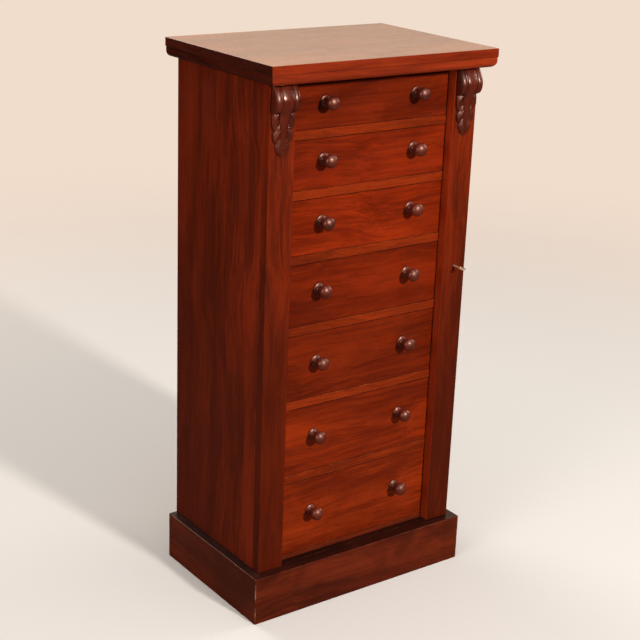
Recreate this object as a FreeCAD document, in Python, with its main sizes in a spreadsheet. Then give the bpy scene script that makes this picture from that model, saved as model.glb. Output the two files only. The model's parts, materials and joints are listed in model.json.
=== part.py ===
import FreeCAD, Part

import math
import os

import Sketcher

# A wellington chest: seven drawers between a fixed pilaster and a hinged locking flap.
# Millimetres. X runs along the front, -Y is the front, Z is up. The origin lies on the floor,
# under the middle of the top board.

DOC = FreeCAD.newDocument("wellington_chest")

# Driving dimensions, by the piece that carries them
SIZES = {
    "top and its moulding": [
        ("topWidth", 602),
        ("topDepth", 422),
        ("topThick", 19.5),
        ("topEdgeRound", 1.2),
        ("topFrontLap", 39.5),
        ("topBackLap", 19),
        ("mouldHeight", 23),
        ("mouldWidth", 75),
        ("mouldInset", 1.5),
        ("mouldRound", 14),
    ],
    "plinth": [
        ("plinthWidth", 600),
        ("plinthHeight", 115),
        ("plinthThick", 30),
        ("plinthLedge", 22),
        ("plinthEdgeRound", 1.5),
        ("cleatThick", 22),
        ("blockThick", 38),
        ("blockLift", 12),
    ],
    "carcase": [
        ("carcaseWidth", 558),
        ("sideThick", 20),
        ("bottomThick", 11.5),
        ("ceilingThick", 12),
        ("backThick", 10),
        ("backJoint", 0.5),
        ("railThick", 20),
        ("railDepth", 60),
        ("runnerWidth", 60),
        ("guideHeight", 18),
        ("stileThick", 20),
        ("stopLength", 30),
        ("stopDepth", 12),
        ("stopHeight", 5),
        ("stopSpacing", 250),
    ],
    "pilaster and flap": [
        ("postWidth", 64.5),
        ("postThick", 23),
        ("postEdgeRound", 1),
        ("flapGap", 1),
    ],
    "corbels": [
        ("corbelWidth", 57),
        ("corbelDepth", 25),
        ("corbelLength", 154),
        ("scrollLength", 60),
        ("scrollHeadDepth", 7),
        ("scrollBulgeDrop", 34),
        ("scrollHighRound", 60),
        ("scrollLowRound", 47),
        ("scrollLipDepth", 21),
        ("scrollLipRise", 6.5),
        ("scrollLipRound", 9),
        ("scrollToeDepth", 10),
        ("leafDepth", 6.5),
        ("leafRound", 300),
        ("leafTipDepth", 2),
        ("leafTipWidth", 5),
        ("lobeRound", 57),
    ],
    "drawer openings, from the top": [
        ("openingOne", 97),
        ("openingTwo", 109.5),
        ("openingThree", 123.5),
        ("openingFour", 142.5),
        ("openingFive", 154.5),
        ("openingSix", 161),
        ("openingSeven", 180),
    ],
    "drawers": [
        ("drawerLength", 320),
        ("drawerSetback", 1),
        ("drawerEndGap", 0.5),
        ("drawerTopGap", 1),
        ("drawerFootGap", 0.3),
        ("frontThick", 20),
        ("wallThick", 10),
        ("wallTopGap", 3),
        ("tailDepth", 14),
        ("panelThick", 6),
        ("panelLift", 10),
        ("panelGroove", 5),
    ],
    "knobs": [
        ("knobSpacing", 245),
        ("knobRise", 9.5),
        ("knobReach", 39.5),
        ("knobWidth", 30.5),
        ("knobHead", 17),
        ("knobCrownWidth", 19),
        ("knobCrownDepth", 1.5),
        ("knobCrownRound", 31),
        ("knobEdgeRound", 8.6),
        ("knobBackWidth", 22),
        ("knobBackRound", 9.4),
        ("knobBackTaper", 4.5),
        ("flangeWidth", 27),
        ("neckWidth", 14),
        ("coveLength", 8),
        ("flangeRim", 3),
        ("spigotWidth", 13),
    ],
    "hinges": [
        ("hingeLength", 64),
        ("hingeEndSpace", 110),
        ("leafThick", 2),
        ("leafWidth", 18),
        ("knuckleWidth", 6.4),
        ("knuckleStandoff", 0.3),
        ("knuckleGap", 0.3),
        ("pinWidth", 3),
        ("pinGap", 0.1),
    ],
    "lock": [
        ("keyRise", 650.5),
        ("caseEdge", 3),
        ("caseWidth", 44),
        ("caseAbove", 28),
        ("caseBelow", 20),
        ("caseDepth", 12),
        ("caseWall", 1.2),
        ("boltThick", 3),
        ("boltHeight", 10),
        ("boltLength", 29),
        ("boltRise", 4),
        ("boltThrow", 8),
        ("boltStop", 1.8),
        ("boltPlay", 0.3),
        ("stapleEdge", 8),
        ("stapleThick", 3.5),
        ("stapleWeb", 1.6),
        ("staplePlay", 0.5),
        ("staplePlateWidth", 20),
        ("staplePlateHeight", 34),
        ("staplePlateThick", 2),
        ("swingPlay", 1.5),
    ],
    "key": [
        ("keyholeWidth", 6),
        ("keyholeSlot", 3.5),
        ("keyholeDrop", 10),
        ("shankWidth", 4.5),
        ("bitLength", 9),
        ("bitThick", 2.5),
        ("bitDepth", 4),
        ("bitGap", 1.5),
        ("bowWidth", 15),
        ("bowThick", 2.6),
        ("keyReach", 39),
        ("collarWidth", 7.5),
        ("collarThick", 3),
    ],
    "cuts": [
        ("overrun", 5),
    ],
}

# Where the leaf's lobes begin: shares of its half width and of its fall below the scroll
LOBE_SHARES = ((1, 0), (0.8, 0.34), (0.5, 0.66))

BACK_BOARDS = 4
KNUCKLES = 5
HINGES = 3
DRAWERS = ("One", "Two", "Three", "Four", "Five", "Six", "Seven")


class Measure:
    """A length that knows its number and the expression that keeps it tied to the sheets."""

    def __init__(self, text, value):
        self.text = text
        self.value = value

    def joined(self, sign, other, value):
        return Measure(f"({self.text} {sign} {textOf(other)})", value)

    def __add__(self, other):
        return self.joined("+", other, self.value + valueOf(other))

    def __sub__(self, other):
        return self.joined("-", other, self.value - valueOf(other))

    def __mul__(self, other):
        return self.joined("*", other, self.value * valueOf(other))

    def __truediv__(self, other):
        return self.joined("/", other, self.value / valueOf(other))

    def __neg__(self):
        return Measure(f"(0 - {self.text})", -self.value)

    __rmul__ = __mul__


def textOf(length):
    return length.text if isinstance(length, Measure) else repr(length)


def valueOf(length):
    return length.value if isinstance(length, Measure) else length


def ordered(*lengths):
    """The low end and the high end, for a piece that is mirrored to the left."""
    return sorted(lengths, key=valueOf)


class Sheet:
    """A spreadsheet whose named cells are read back as measures."""

    def __init__(self, name):
        self.name = name
        self.sheet = DOC.addObject("Spreadsheet::Sheet", name)
        self.row = 0

    def heading(self, text):
        self.row += 1
        self.sheet.set(f"A{self.row}", text)

    def add(self, alias, content, value):
        self.row += 1
        self.sheet.set(f"A{self.row}", alias)
        self.sheet.set(f"B{self.row}", content)
        self.sheet.setAlias(f"B{self.row}", alias)
        measure = Measure(f"{self.name}.{alias}", value)
        setattr(self, alias, measure)
        return measure


size = Sheet("size")
for group, rows in SIZES.items():
    size.heading(group)
    for alias, number in rows:
        size.add(alias, str(number), number)

place = Sheet("place")


def at(alias, length):
    """Names a worked-out place, so that every piece reads it from one cell."""
    return place.add(alias, "=" + length.text, length.value)


# Places along the depth
at("postFront", size.topFrontLap - size.topDepth / 2)
at("carcaseFront", place.postFront + size.postThick)
at("carcaseBack", size.topDepth / 2 - size.topBackLap)
at("backFront", place.carcaseBack - size.backThick)
at("stileBack", place.carcaseFront + size.stileThick)
at("railBack", place.carcaseFront + size.railDepth)
at("plinthFront", place.postFront - size.plinthLedge)
at("drawerFace", place.carcaseFront + size.drawerSetback)
at("frontBack", place.drawerFace + size.frontThick)
at("drawerBack", place.drawerFace + size.drawerLength)

# Places across the width, to the right of the middle
at("sideOuter", size.carcaseWidth / 2)
at("sideInner", place.sideOuter - size.sideThick)
at("postInner", place.sideOuter - size.postWidth)
at("drawerEnd", place.postInner - size.drawerEndGap)
at("wallInner", place.drawerEnd - size.wallThick)

# Places up the height: each drawer's floor is the rail, or the bottom board, under it
floors = {}
ceilings = {}
level = at("bottomTop", size.plinthHeight + size.bottomThick)
for name in reversed(DRAWERS):
    floors[name] = at("floor" + name, level + 0)
    ceilings[name] = at("ceiling" + name, floors[name] + getattr(size, "opening" + name))
    level = ceilings[name] + size.railThick
at("ceilingTop", ceilings["One"] + size.ceilingThick)
at("topUnder", place.ceilingTop + size.mouldHeight)
at("flapFoot", size.plinthHeight + size.flapGap)
at("flapHead", place.ceilingTop - size.flapGap)

NODES = []


def keep(item, label):
    """Gives a sub-part the name that its file gets."""
    item.Label = label
    NODES.append(item)
    return item


def bind(item, path, length):
    """Ties one property of an object to the sheets."""
    if isinstance(length, Measure):
        item.setExpression(path, length.text)
    else:
        item.setExpression(path, str(length))


def box(label, x, y, z):
    """A plain board from its low and high edges along X, Y and Z."""
    item = DOC.addObject("Part::Box", label)
    for axis, side, (low, high) in zip("xyz", ("Length", "Width", "Height"), (x, y, z)):
        bind(item, "Placement.Base." + axis, low)
        bind(item, side, high - low)
    return item


def rod(label, centre, width, z):
    """An upright cylinder."""
    item = DOC.addObject("Part::Cylinder", label)
    bind(item, "Radius", width / 2)
    bind(item, "Height", z[1] - z[0])
    bind(item, "Placement.Base.x", centre[0])
    bind(item, "Placement.Base.y", centre[1])
    bind(item, "Placement.Base.z", z[0])
    return item


def fused(label, items):
    item = DOC.addObject("Part::MultiFuse", label)
    item.Shapes = items
    item.Refine = True
    return item


def cut(label, base, tool):
    item = DOC.addObject("Part::Cut", label)
    item.Base = base
    item.Tool = tool
    return item


def group(label, items):
    """Pieces of one kind that share a node, each a solid of its own."""
    item = DOC.addObject("Part::Compound", label)
    item.Links = items
    return keep(item, label)


def body(label):
    return DOC.addObject("PartDesign::Body", label)


def plane(owner, role):
    return [part for part in owner.Origin.OriginFeatures if part.Role == role][0]


def sketchOn(owner, role, offset=None):
    """A sketch on one of the body's own planes, shifted along the plane's normal."""
    sketch = owner.newObject("Sketcher::SketchObject", owner.Name + "Sketch")
    sketch.AttachmentSupport = [(plane(owner, role), "")]
    sketch.MapMode = "FlatFace"
    if offset is not None:
        bind(sketch, "AttachmentOffset.Base.z", offset)
    return sketch


def fix(sketch, kind, index, point, length):
    """Dimensions one coordinate of a point of the sketch from its origin."""
    rule = Sketcher.Constraint(kind, -1, 1, index, point, valueOf(length))
    number = sketch.addConstraint(rule)
    if isinstance(length, Measure):
        bind(sketch, f"Constraints[{number}]", length)


def arcCentre(first, last, radius, side):
    """The centre of an arc through two points, to the left (1) or right (-1) of the way."""
    dx = last[0] - first[0]
    dy = last[1] - first[1]
    chord = math.hypot(dx, dy)
    rise = math.sqrt(max(radius * radius - chord * chord / 4, 0))
    return (
        (first[0] + last[0]) / 2 - side * dy / chord * rise,
        (first[1] + last[1]) / 2 + side * dx / chord * rise,
    )


def outline(sketch, points):
    """A closed outline. A point is (x, y), or (x, y, radius, side) where an arc leaves it."""
    start = sketch.GeometryCount
    count = len(points)
    ends = []
    for index, point in enumerate(points):
        first = (valueOf(point[0]), valueOf(point[1]))
        following = points[(index + 1) % count]
        last = (valueOf(following[0]), valueOf(following[1]))
        if len(point) == 2:
            edge = Part.LineSegment(FreeCAD.Vector(*first, 0), FreeCAD.Vector(*last, 0))
            ends.append((1, 2))
        else:
            radius, side = valueOf(point[2]), point[3]
            centre = arcCentre(first, last, radius, side)
            angles = [math.atan2(y - centre[1], x - centre[0]) for x, y in (first, last)]
            circle = Part.Circle(FreeCAD.Vector(*centre, 0), FreeCAD.Vector(0, 0, 1), radius)
            if side > 0:
                edge = Part.ArcOfCircle(circle, angles[0], angles[1])
                ends.append((1, 2))
            else:
                edge = Part.ArcOfCircle(circle, angles[1], angles[0])
                ends.append((2, 1))
        sketch.addGeometry(edge, False)
    for index, point in enumerate(points):
        here = start + index
        after = start + (index + 1) % count
        sketch.addConstraint(
            Sketcher.Constraint(
                "Coincident", here, ends[index][1], after, ends[(index + 1) % count][0]
            )
        )
        fix(sketch, "DistanceX", here, ends[index][0], point[0])
        fix(sketch, "DistanceY", here, ends[index][0], point[1])
        if len(point) > 2:
            rule = Sketcher.Constraint("Radius", here, valueOf(point[2]))
            number = sketch.addConstraint(rule)
            bind(sketch, f"Constraints[{number}]", point[2])
    return sketch


def rectangle(sketch, x, y):
    return outline(sketch, [(x[0], y[0]), (x[1], y[0]), (x[1], y[1]), (x[0], y[1])])


def circle(sketch, x, y, width):
    index = sketch.addGeometry(
        Part.Circle(
            FreeCAD.Vector(valueOf(x), valueOf(y), 0), FreeCAD.Vector(0, 0, 1), width.value / 2
        ),
        False,
    )
    fix(sketch, "DistanceX", index, 3, x)
    fix(sketch, "DistanceY", index, 3, y)
    number = sketch.addConstraint(Sketcher.Constraint("Diameter", index, width.value))
    bind(sketch, f"Constraints[{number}]", width)


def pad(owner, sketch, length, both=False, back=False):
    feature = owner.newObject("PartDesign::Pad", owner.Name + "Pad")
    feature.Profile = sketch
    bind(feature, "Length", length)
    if both:
        feature.SideType = "Symmetric"
    feature.Reversed = back
    return feature


def pocket(owner, sketch, length, both=False, back=False):
    """Cuts the sketch out of the body, and makes sure that something was cut."""
    DOC.recompute()
    before = owner.Shape.Volume
    feature = owner.newObject("PartDesign::Pocket", owner.Name + "Pocket")
    feature.Profile = sketch
    bind(feature, "Length", length)
    if both:
        feature.SideType = "Symmetric"
    feature.Reversed = back
    DOC.recompute()
    if not owner.Shape.Volume < before:
        raise ValueError(f"{owner.Label}: a pocket cut nothing")
    return feature


def rounded(owner, base, radius, wanted):
    """Rounds the edges of a feature that the test picks, to within half the radius."""
    DOC.recompute()
    slack = radius.value / 2
    names = [
        f"Edge{index + 1}"
        for index, edge in enumerate(base.Shape.Edges)
        if wanted(edge.BoundBox, slack)
    ]
    feature = owner.newObject("PartDesign::Fillet", owner.Name + "Fillet")
    feature.Base = (base, names)
    bind(feature, "Radius", radius)
    return feature


def topBoard():
    """The top board, with its upper and lower arrises just eased."""
    owner = body("top_board")
    half = size.topWidth / 2
    sketch = rectangle(
        sketchOn(owner, "XY_Plane", place.topUnder),
        (-half, half),
        (-(size.topDepth / 2), size.topDepth / 2),
    )
    slab = pad(owner, sketch, size.topThick)
    rounded(owner, slab, size.topEdgeRound, lambda edge, slack: True)
    keep(owner, "top_board")


def topMouldings():
    """Mitred strips under the top, rounded below on the outside, and a plain strip at the back."""
    outer = size.topWidth / 2 - size.mouldInset
    front = size.mouldInset - size.topDepth / 2
    back = size.topDepth / 2 - size.mouldInset
    low, high = place.ceilingTop, place.topUnder
    width = size.mouldWidth
    items = []

    strip = body("mould_front")
    profile = outline(
        sketchOn(strip, "YZ_Plane"),
        [
            (front, low + size.mouldRound, size.mouldRound, 1),
            (front + size.mouldRound, low),
            (front + width, low),
            (front + width, high),
            (front, high),
        ],
    )
    pad(strip, profile, outer * 2, both=True)
    corners = sketchOn(strip, "XY_Plane", low - size.overrun)
    for side in (-1, 1):
        outline(
            corners,
            [
                (side * outer, front),
                (side * (outer + size.overrun), front),
                (side * (outer + size.overrun), front + width),
                (side * (outer - width), front + width),
            ],
        )
    pocket(strip, corners, size.mouldHeight + size.overrun * 2, back=True)
    items.append(strip)

    for name, side in (("mould_left", -1), ("mould_right", 1)):
        strip = body(name)
        profile = outline(
            sketchOn(strip, "XZ_Plane", -front),
            [
                (side * outer, low + size.mouldRound, size.mouldRound, -side),
                (side * (outer - size.mouldRound), low),
                (side * (outer - width), low),
                (side * (outer - width), high),
                (side * outer, high),
            ],
        )
        pad(strip, profile, back - front, back=True)
        corner = outline(
            sketchOn(strip, "XY_Plane", low - size.overrun),
            [
                (side * outer, front),
                (side * (outer - width), front + width),
                (side * (outer - width), front),
            ],
        )
        pocket(strip, corner, size.mouldHeight + size.overrun * 2, back=True)
        items.append(strip)

    items.append(
        box("mould_back", (width - outer, outer - width), (back - width, back), (low, high))
    )
    group("top_mouldings", items)


def plinth():
    """Mitred boards round three sides, a board at the back, cleats and corner blocks inside."""
    outer = size.plinthWidth / 2
    inner = outer - size.plinthThick
    front, back = place.plinthFront, place.carcaseBack
    height = size.plinthHeight

    board = body("plinth_front")
    sketch = outline(
        sketchOn(board, "XY_Plane"),
        [
            (-outer, front),
            (outer, front),
            (inner, front + size.plinthThick),
            (-inner, front + size.plinthThick),
        ],
    )
    slab = pad(board, sketch, height)
    rounded(
        board,
        slab,
        size.plinthEdgeRound,
        lambda edge, slack: edge.ZMin > height.value - slack
        and edge.YMax < front.value + slack,
    )
    keep(board, "plinth_front")

    sides = []
    for name, side in (("plinth_left", -1), ("plinth_right", 1)):
        board = body(name)
        sketch = outline(
            sketchOn(board, "XY_Plane"),
            [
                (side * outer, front),
                (side * inner, front + size.plinthThick),
                (side * inner, back),
                (side * outer, back),
            ],
        )
        slab = pad(board, sketch, height)
        rounded(
            board,
            slab,
            size.plinthEdgeRound,
            lambda edge, slack: edge.ZMin > height.value - slack
            and abs(edge.XMin - side * outer.value) < slack
            and abs(edge.XMax - side * outer.value) < slack,
        )
        sides.append(board)
    group("plinth_sides", sides)

    rear = (back - size.plinthThick, back)
    keep(box("plinth_back", (-inner, inner), rear, (height * 0, height)), "plinth_back")

    insideFront = front + size.plinthThick
    insideBack = back - size.plinthThick
    under = height - size.cleatThick
    cleats = [
        box(f"cleat_{name}", (-inner, inner), y, (under, height))
        for name, y in (
            ("front", (insideFront, insideFront + size.cleatThick)),
            ("back", (insideBack - size.cleatThick, insideBack)),
        )
    ]
    for name, side in (("left", -1), ("right", 1)):
        ends = ordered(side * inner, side * (inner - size.cleatThick))
        cleats.append(
            box(
                "cleat_" + name,
                ends,
                (insideFront + size.cleatThick, insideBack - size.cleatThick),
                (under, height),
            )
        )
        corner = ordered(side * inner, side * (inner - size.blockThick))
        for end, low in (("front", insideFront), ("back", insideBack - size.blockThick)):
            y = (low, low + size.blockThick)
            cleats.append(box(f"block_{name}_{end}", corner, y, (size.blockLift, under)))
    group("plinth_blocks", cleats)


def shelf(label, back, z):
    """A board that fills the front between the stiles and widens behind them to the sides."""
    owner = body(label)
    wide, narrow = place.sideInner, place.postInner
    sketch = outline(
        sketchOn(owner, "XY_Plane", z[0]),
        [
            (-narrow, place.carcaseFront),
            (narrow, place.carcaseFront),
            (narrow, place.stileBack),
            (wide, place.stileBack),
            (wide, back),
            (-wide, back),
            (-wide, place.stileBack),
            (-narrow, place.stileBack),
        ],
    )
    pad(owner, sketch, z[1] - z[0])
    return owner


def hingeHeights():
    """The foot of each hinge, from the lowest up."""
    low = place.flapFoot + size.hingeEndSpace
    high = place.flapHead - size.hingeEndSpace - size.hingeLength
    return [low + (high - low) * (index / (HINGES - 1)) for index in range(HINGES)]


def carcase():
    """Sides, bottom, ceiling, rails, stiles, runners, guides, stops and back."""
    foot, head = size.plinthHeight, place.ceilingTop
    front, back = place.carcaseFront, place.carcaseBack
    keep(
        box("side_left", (-place.sideOuter, -place.sideInner), (front, back), (foot, head)),
        "side_left",
    )

    board = body("side_right")
    sketch = rectangle(
        sketchOn(board, "XY_Plane", foot), (place.sideInner, place.sideOuter), (front, back)
    )
    pad(board, sketch, head - foot)
    seats = sketchOn(board, "XZ_Plane", -front)
    for low in hingeHeights():
        rectangle(
            seats,
            (place.sideOuter - size.leafWidth, place.sideOuter + size.overrun),
            (low, low + size.hingeLength),
        )
    pocket(board, seats, size.leafThick)
    keep(board, "side_right")

    keep(shelf("bottom_board", place.backFront, (foot, place.bottomTop)), "bottom_board")
    keep(shelf("carcase_top", place.backFront, (ceilings["One"], head)), "carcase_top")

    rails = [
        shelf("rail" + name, place.railBack, (ceilings[name], ceilings[name] + size.railThick))
        for name in DRAWERS[1:]
    ]
    group("drawer_rails", rails)

    stileFace = (place.carcaseFront, place.stileBack)
    stileLeft = box("stile_left", (-place.sideInner, -place.postInner), stileFace, (foot, head))
    stileRight = box("stile_plain", (place.postInner, place.sideInner), stileFace, (foot, head))
    seat = box("staple_seat", *staplePlate())
    group("front_stiles", [stileLeft, cut("stile_right", stileRight, seat)])

    strips = []
    stops = []
    for name in DRAWERS:
        floor = floors[name]
        for sideName, side in (("left", -1), ("right", 1)):
            across = [
                ordered(side * place.sideInner, side * edge)
                for edge in (place.sideInner - size.runnerWidth, place.postInner)
            ]
            if name != DRAWERS[-1]:
                strips.append(
                    box(
                        f"runner{name}_{sideName}",
                        across[0],
                        (place.railBack, place.backFront),
                        (floor - size.railThick, floor),
                    )
                )
            strips.append(
                box(
                    f"guide{name}_{sideName}",
                    across[1],
                    (place.stileBack, place.backFront),
                    (floor, floor + size.guideHeight),
                )
            )
            middle = side * size.stopSpacing / 2
            stops.append(
                box(
                    f"stop{name}_{sideName}",
                    (middle - size.stopLength / 2, middle + size.stopLength / 2),
                    (place.frontBack, place.frontBack + size.stopDepth),
                    (floor, floor + size.stopHeight),
                )
            )
    group("drawer_runners", strips)
    group("drawer_stops", stops)

    width = (place.sideInner * 2 - size.backJoint * (BACK_BOARDS - 1)) / BACK_BOARDS
    boards = []
    for index in range(BACK_BOARDS):
        left = -place.sideInner + (width + size.backJoint) * index
        y = (place.backFront, back)
        boards.append(box(f"back_board{index + 1}", (left, left + width), y, (foot, head)))
    group("back_boards", boards)


def post(label, side, z):
    """A board as wide as the pilaster, its two front arrises eased."""
    owner = body(label)
    x = ordered(side * place.postInner, side * place.sideOuter)
    sketch = rectangle(
        sketchOn(owner, "XY_Plane", z[0]), x, (place.postFront, place.carcaseFront)
    )
    slab = pad(owner, sketch, z[1] - z[0])
    rounded(
        owner,
        slab,
        size.postEdgeRound,
        lambda edge, slack: edge.YMax < place.postFront.value + slack
        and edge.ZLength > size.postWidth.value,
    )
    return owner


def corbel(label, side, head):
    """A scroll at the top that turns back into a leaf hanging down the post."""
    owner = body(label)
    middle = side * (place.sideOuter + place.postInner) / 2
    face = place.postFront
    chin = head - size.scrollLength
    tip = head - size.corbelLength
    profile = outline(
        sketchOn(owner, "YZ_Plane", middle),
        [
            (face, head),
            (face, tip),
            (face - size.leafTipDepth, tip, size.leafRound, -1),
            (face - size.leafDepth, chin),
            (face - size.scrollToeDepth, chin, size.scrollLipRound, -1),
            (face - size.scrollLipDepth, chin + size.scrollLipRise, size.scrollLowRound, -1),
            (face - size.corbelDepth, head - size.scrollBulgeDrop, size.scrollHighRound, -1),
            (face - size.scrollHeadDepth, head),
        ],
    )
    pad(owner, profile, size.corbelWidth, both=True)

    trim = sketchOn(owner, "XZ_Plane", -face)
    half = size.corbelWidth / 2
    clear = half + size.overrun
    for hand in (-1, 1):
        lobes = [
            (middle + hand * half * share, chin - (chin - tip) * fallShare, size.lobeRound, -hand)
            for share, fallShare in LOBE_SHARES
        ]
        outline(
            trim,
            lobes
            + [
                (middle + hand * size.leafTipWidth / 2, tip),
                (middle + hand * size.leafTipWidth / 2, tip - size.overrun),
                (middle + hand * clear, tip - size.overrun),
                (middle + hand * clear, chin),
            ],
        )
    pocket(owner, trim, size.corbelDepth + size.overrun, back=True)
    keep(owner, label)


def lockPlaces():
    """The lock's own places: across the width, along the depth and up the height."""
    axis = (place.sideOuter + place.postInner) / 2
    rise = size.plinthHeight + size.keyRise
    caseBack = place.carcaseFront
    caseFront = caseBack - size.caseDepth
    boltBack = caseBack - size.caseWall - size.boltPlay
    stapleLeft = place.postInner + size.stapleEdge
    caseLeft = place.postInner + size.caseEdge
    return {
        "axis": axis,
        "rise": rise,
        "caseX": (caseLeft, caseLeft + size.caseWidth),
        "caseY": (caseFront, caseBack),
        "caseZ": (rise - size.caseBelow, rise + size.caseAbove),
        "boltY": (boltBack - size.boltThick, boltBack),
        "boltZ": (rise + size.boltRise, rise + size.boltRise + size.boltHeight),
        "stapleX": (stapleLeft, stapleLeft + size.stapleThick),
    }


def staplePlate():
    """The staple's base plate, let into the stile's face."""
    spots = lockPlaces()
    x = (spots["stapleX"][0] + spots["stapleX"][1]) / 2 + size.stapleWeb
    z = (spots["boltZ"][0] + spots["boltZ"][1]) / 2
    return (
        (x - size.staplePlateWidth / 2, x + size.staplePlateWidth / 2),
        (place.carcaseFront, place.carcaseFront + size.staplePlateThick),
        (z - size.staplePlateHeight / 2, z + size.staplePlateHeight / 2),
    )


def keyhole(owner, y):
    """A round hole for the shank with a slot for the bit below it."""
    spots = lockPlaces()
    axis, rise = spots["axis"], spots["rise"]
    half = size.keyholeSlot / 2
    sketch = sketchOn(owner, "XZ_Plane", -y[0])
    circle(sketch, axis, rise, size.keyholeWidth)
    pocket(owner, sketch, y[1] - y[0])
    slot = sketchOn(owner, "XZ_Plane", -y[0])
    rectangle(slot, (axis - half, axis + half), (rise - size.keyholeDrop, rise))
    pocket(owner, slot, y[1] - y[0])


def lock():
    """Case in the flap's back, sliding bolt, and the staple that stands out of the stile."""
    spots = lockPlaces()
    x, y, z = spots["caseX"], spots["caseY"], spots["caseZ"]
    wall = size.caseWall

    case = body("lock_case")
    pad(case, rectangle(sketchOn(case, "XZ_Plane", -y[0]), x, z), y[1] - y[0], back=True)
    inside = rectangle(
        sketchOn(case, "XZ_Plane", -(y[0] + wall)),
        (x[0] + wall, x[1] - wall),
        (z[0] + wall, z[1] - wall),
    )
    pocket(case, inside, size.caseDepth - wall * 2)
    keyhole(case, (y[0], y[0] + wall * 2))
    webs = size.staplePlay + size.stapleWeb + size.staplePlay
    slot = rectangle(
        sketchOn(case, "XZ_Plane", -(y[1] - wall)),
        (spots["stapleX"][0] - size.swingPlay, spots["stapleX"][1] + size.boltPlay * 2),
        (spots["boltZ"][0] - webs, spots["boltZ"][1] + webs),
    )
    pocket(case, slot, wall)
    keep(case, "lock_case")

    tip = x[0] + wall + size.boltStop + size.boltThrow
    keep(
        box("lock_bolt", (tip, tip + size.boltLength), spots["boltY"], spots["boltZ"]), "lock_bolt"
    )

    play = size.staplePlay
    eyeY = (spots["boltY"][0] - play, spots["boltY"][1] + play)
    eyeZ = (spots["boltZ"][0] - play, spots["boltZ"][1] + play)
    loop = box(
        "staple_loop",
        spots["stapleX"],
        (eyeY[0] - size.stapleWeb, place.carcaseFront + size.staplePlateThick),
        (eyeZ[0] - size.stapleWeb, eyeZ[1] + size.stapleWeb),
    )
    plate = box("staple_plate", *staplePlate())
    eye = box(
        "staple_eye",
        (spots["stapleX"][0] - size.overrun, spots["stapleX"][1] + size.overrun),
        eyeY,
        eyeZ,
    )
    keep(cut("lock_staple", fused("staple_whole", [plate, loop]), eye), "lock_staple")


def flapBoard():
    """The locking flap: a post with seats for the hinges and the lock, and its keyhole."""
    owner = post("flap_board", 1, (place.flapFoot, place.flapHead))
    seats = sketchOn(owner, "XZ_Plane", -(place.carcaseFront - size.leafThick))
    for low in hingeHeights():
        rectangle(
            seats,
            (place.sideOuter - size.leafWidth, place.sideOuter + size.overrun),
            (low, low + size.hingeLength),
        )
    pocket(owner, seats, size.leafThick)
    spots = lockPlaces()
    seat = sketchOn(owner, "XZ_Plane", -spots["caseY"][0])
    pocket(owner, rectangle(seat, spots["caseX"], spots["caseZ"]), size.caseDepth)
    keyhole(owner, (place.postFront, spots["caseY"][0]))
    keep(owner, "flap_board")


def key():
    """The key stands in the lock with its bow and its bit lying level."""
    spots = lockPlaces()
    axis, rise = spots["axis"], spots["rise"]
    ringMiddle = place.postFront - size.keyReach + size.bowWidth / 2
    ringRadius = size.bowWidth / 2 - size.bowThick / 2
    end = spots["boltY"][0] - size.bitGap

    bow = DOC.addObject("Part::Torus", "key_bow")
    bind(bow, "Radius1", ringRadius)
    bind(bow, "Radius2", size.bowThick / 2)
    bind(bow, "Placement.Base.x", axis)
    bind(bow, "Placement.Base.y", ringMiddle)
    bind(bow, "Placement.Base.z", rise)

    def turned(label, width, y):
        item = DOC.addObject("Part::Cylinder", label)
        item.Placement.Rotation = FreeCAD.Rotation(FreeCAD.Vector(1, 0, 0), -90)
        bind(item, "Radius", width / 2)
        bind(item, "Height", y[1] - y[0])
        bind(item, "Placement.Base.x", axis)
        bind(item, "Placement.Base.y", y[0])
        bind(item, "Placement.Base.z", rise)
        return item

    shank = turned("key_shank", size.shankWidth, (ringMiddle + ringRadius, end))
    collarEnd = ringMiddle + size.bowWidth / 2 + size.collarThick
    collar = turned("key_collar", size.collarWidth, (collarEnd - size.collarThick, collarEnd))
    bit = box(
        "key_bit",
        (axis, axis + size.bitLength),
        (end - size.bitDepth, end),
        (rise - size.bitThick / 2, rise + size.bitThick / 2),
    )
    keep(fused("key", [bow, shank, collar, bit]), "key")


def hinges():
    """Butt hinges: a leaf on the side, a leaf on the flap, and the pin through their knuckles."""
    axis = (place.sideOuter + size.knuckleStandoff + size.knuckleWidth / 2, place.carcaseFront)
    plates = {
        0: (axis[1], axis[1] + size.leafThick),
        1: (axis[1] - size.leafThick, axis[1]),
    }
    step = size.hingeLength / KNUCKLES
    halves = {0: [], 1: []}
    for number, low in enumerate(hingeHeights()):
        z = (low, low + size.hingeLength)
        bore = rod(f"hinge{number}_bore", axis, size.pinWidth + size.pinGap * 2, z)
        for half, y in plates.items():
            parts = [
                box(
                    f"hinge{number}_plate{half}",
                    (place.sideOuter - size.leafWidth, place.sideOuter + 0),
                    y,
                    z,
                )
            ]
            for knuckle in range(half, KNUCKLES, 2):
                foot = low + step * knuckle + (size.knuckleGap / 2 if knuckle else 0)
                head = low + step * (knuckle + 1)
                if knuckle < KNUCKLES - 1:
                    head = head - size.knuckleGap / 2
                parts.append(
                    rod(f"hinge{number}_knuckle{knuckle}", axis, size.knuckleWidth, (foot, head))
                )
                parts.append(
                    box(
                        f"hinge{number}_web{knuckle}",
                        (place.sideOuter - size.leafThick, axis[0]),
                        y,
                        (foot, head),
                    )
                )
            whole = fused(f"hinge{number}_leaf{half}", parts)
            halves[half].append(cut(f"hinge{number}_half{half}", whole, bore))
        halves[0].append(rod(f"hinge{number}_pin", axis, size.pinWidth, z))
    group("hinge_leaves_fixed", halves[0])
    group("hinge_leaves_moving", halves[1])


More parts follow.
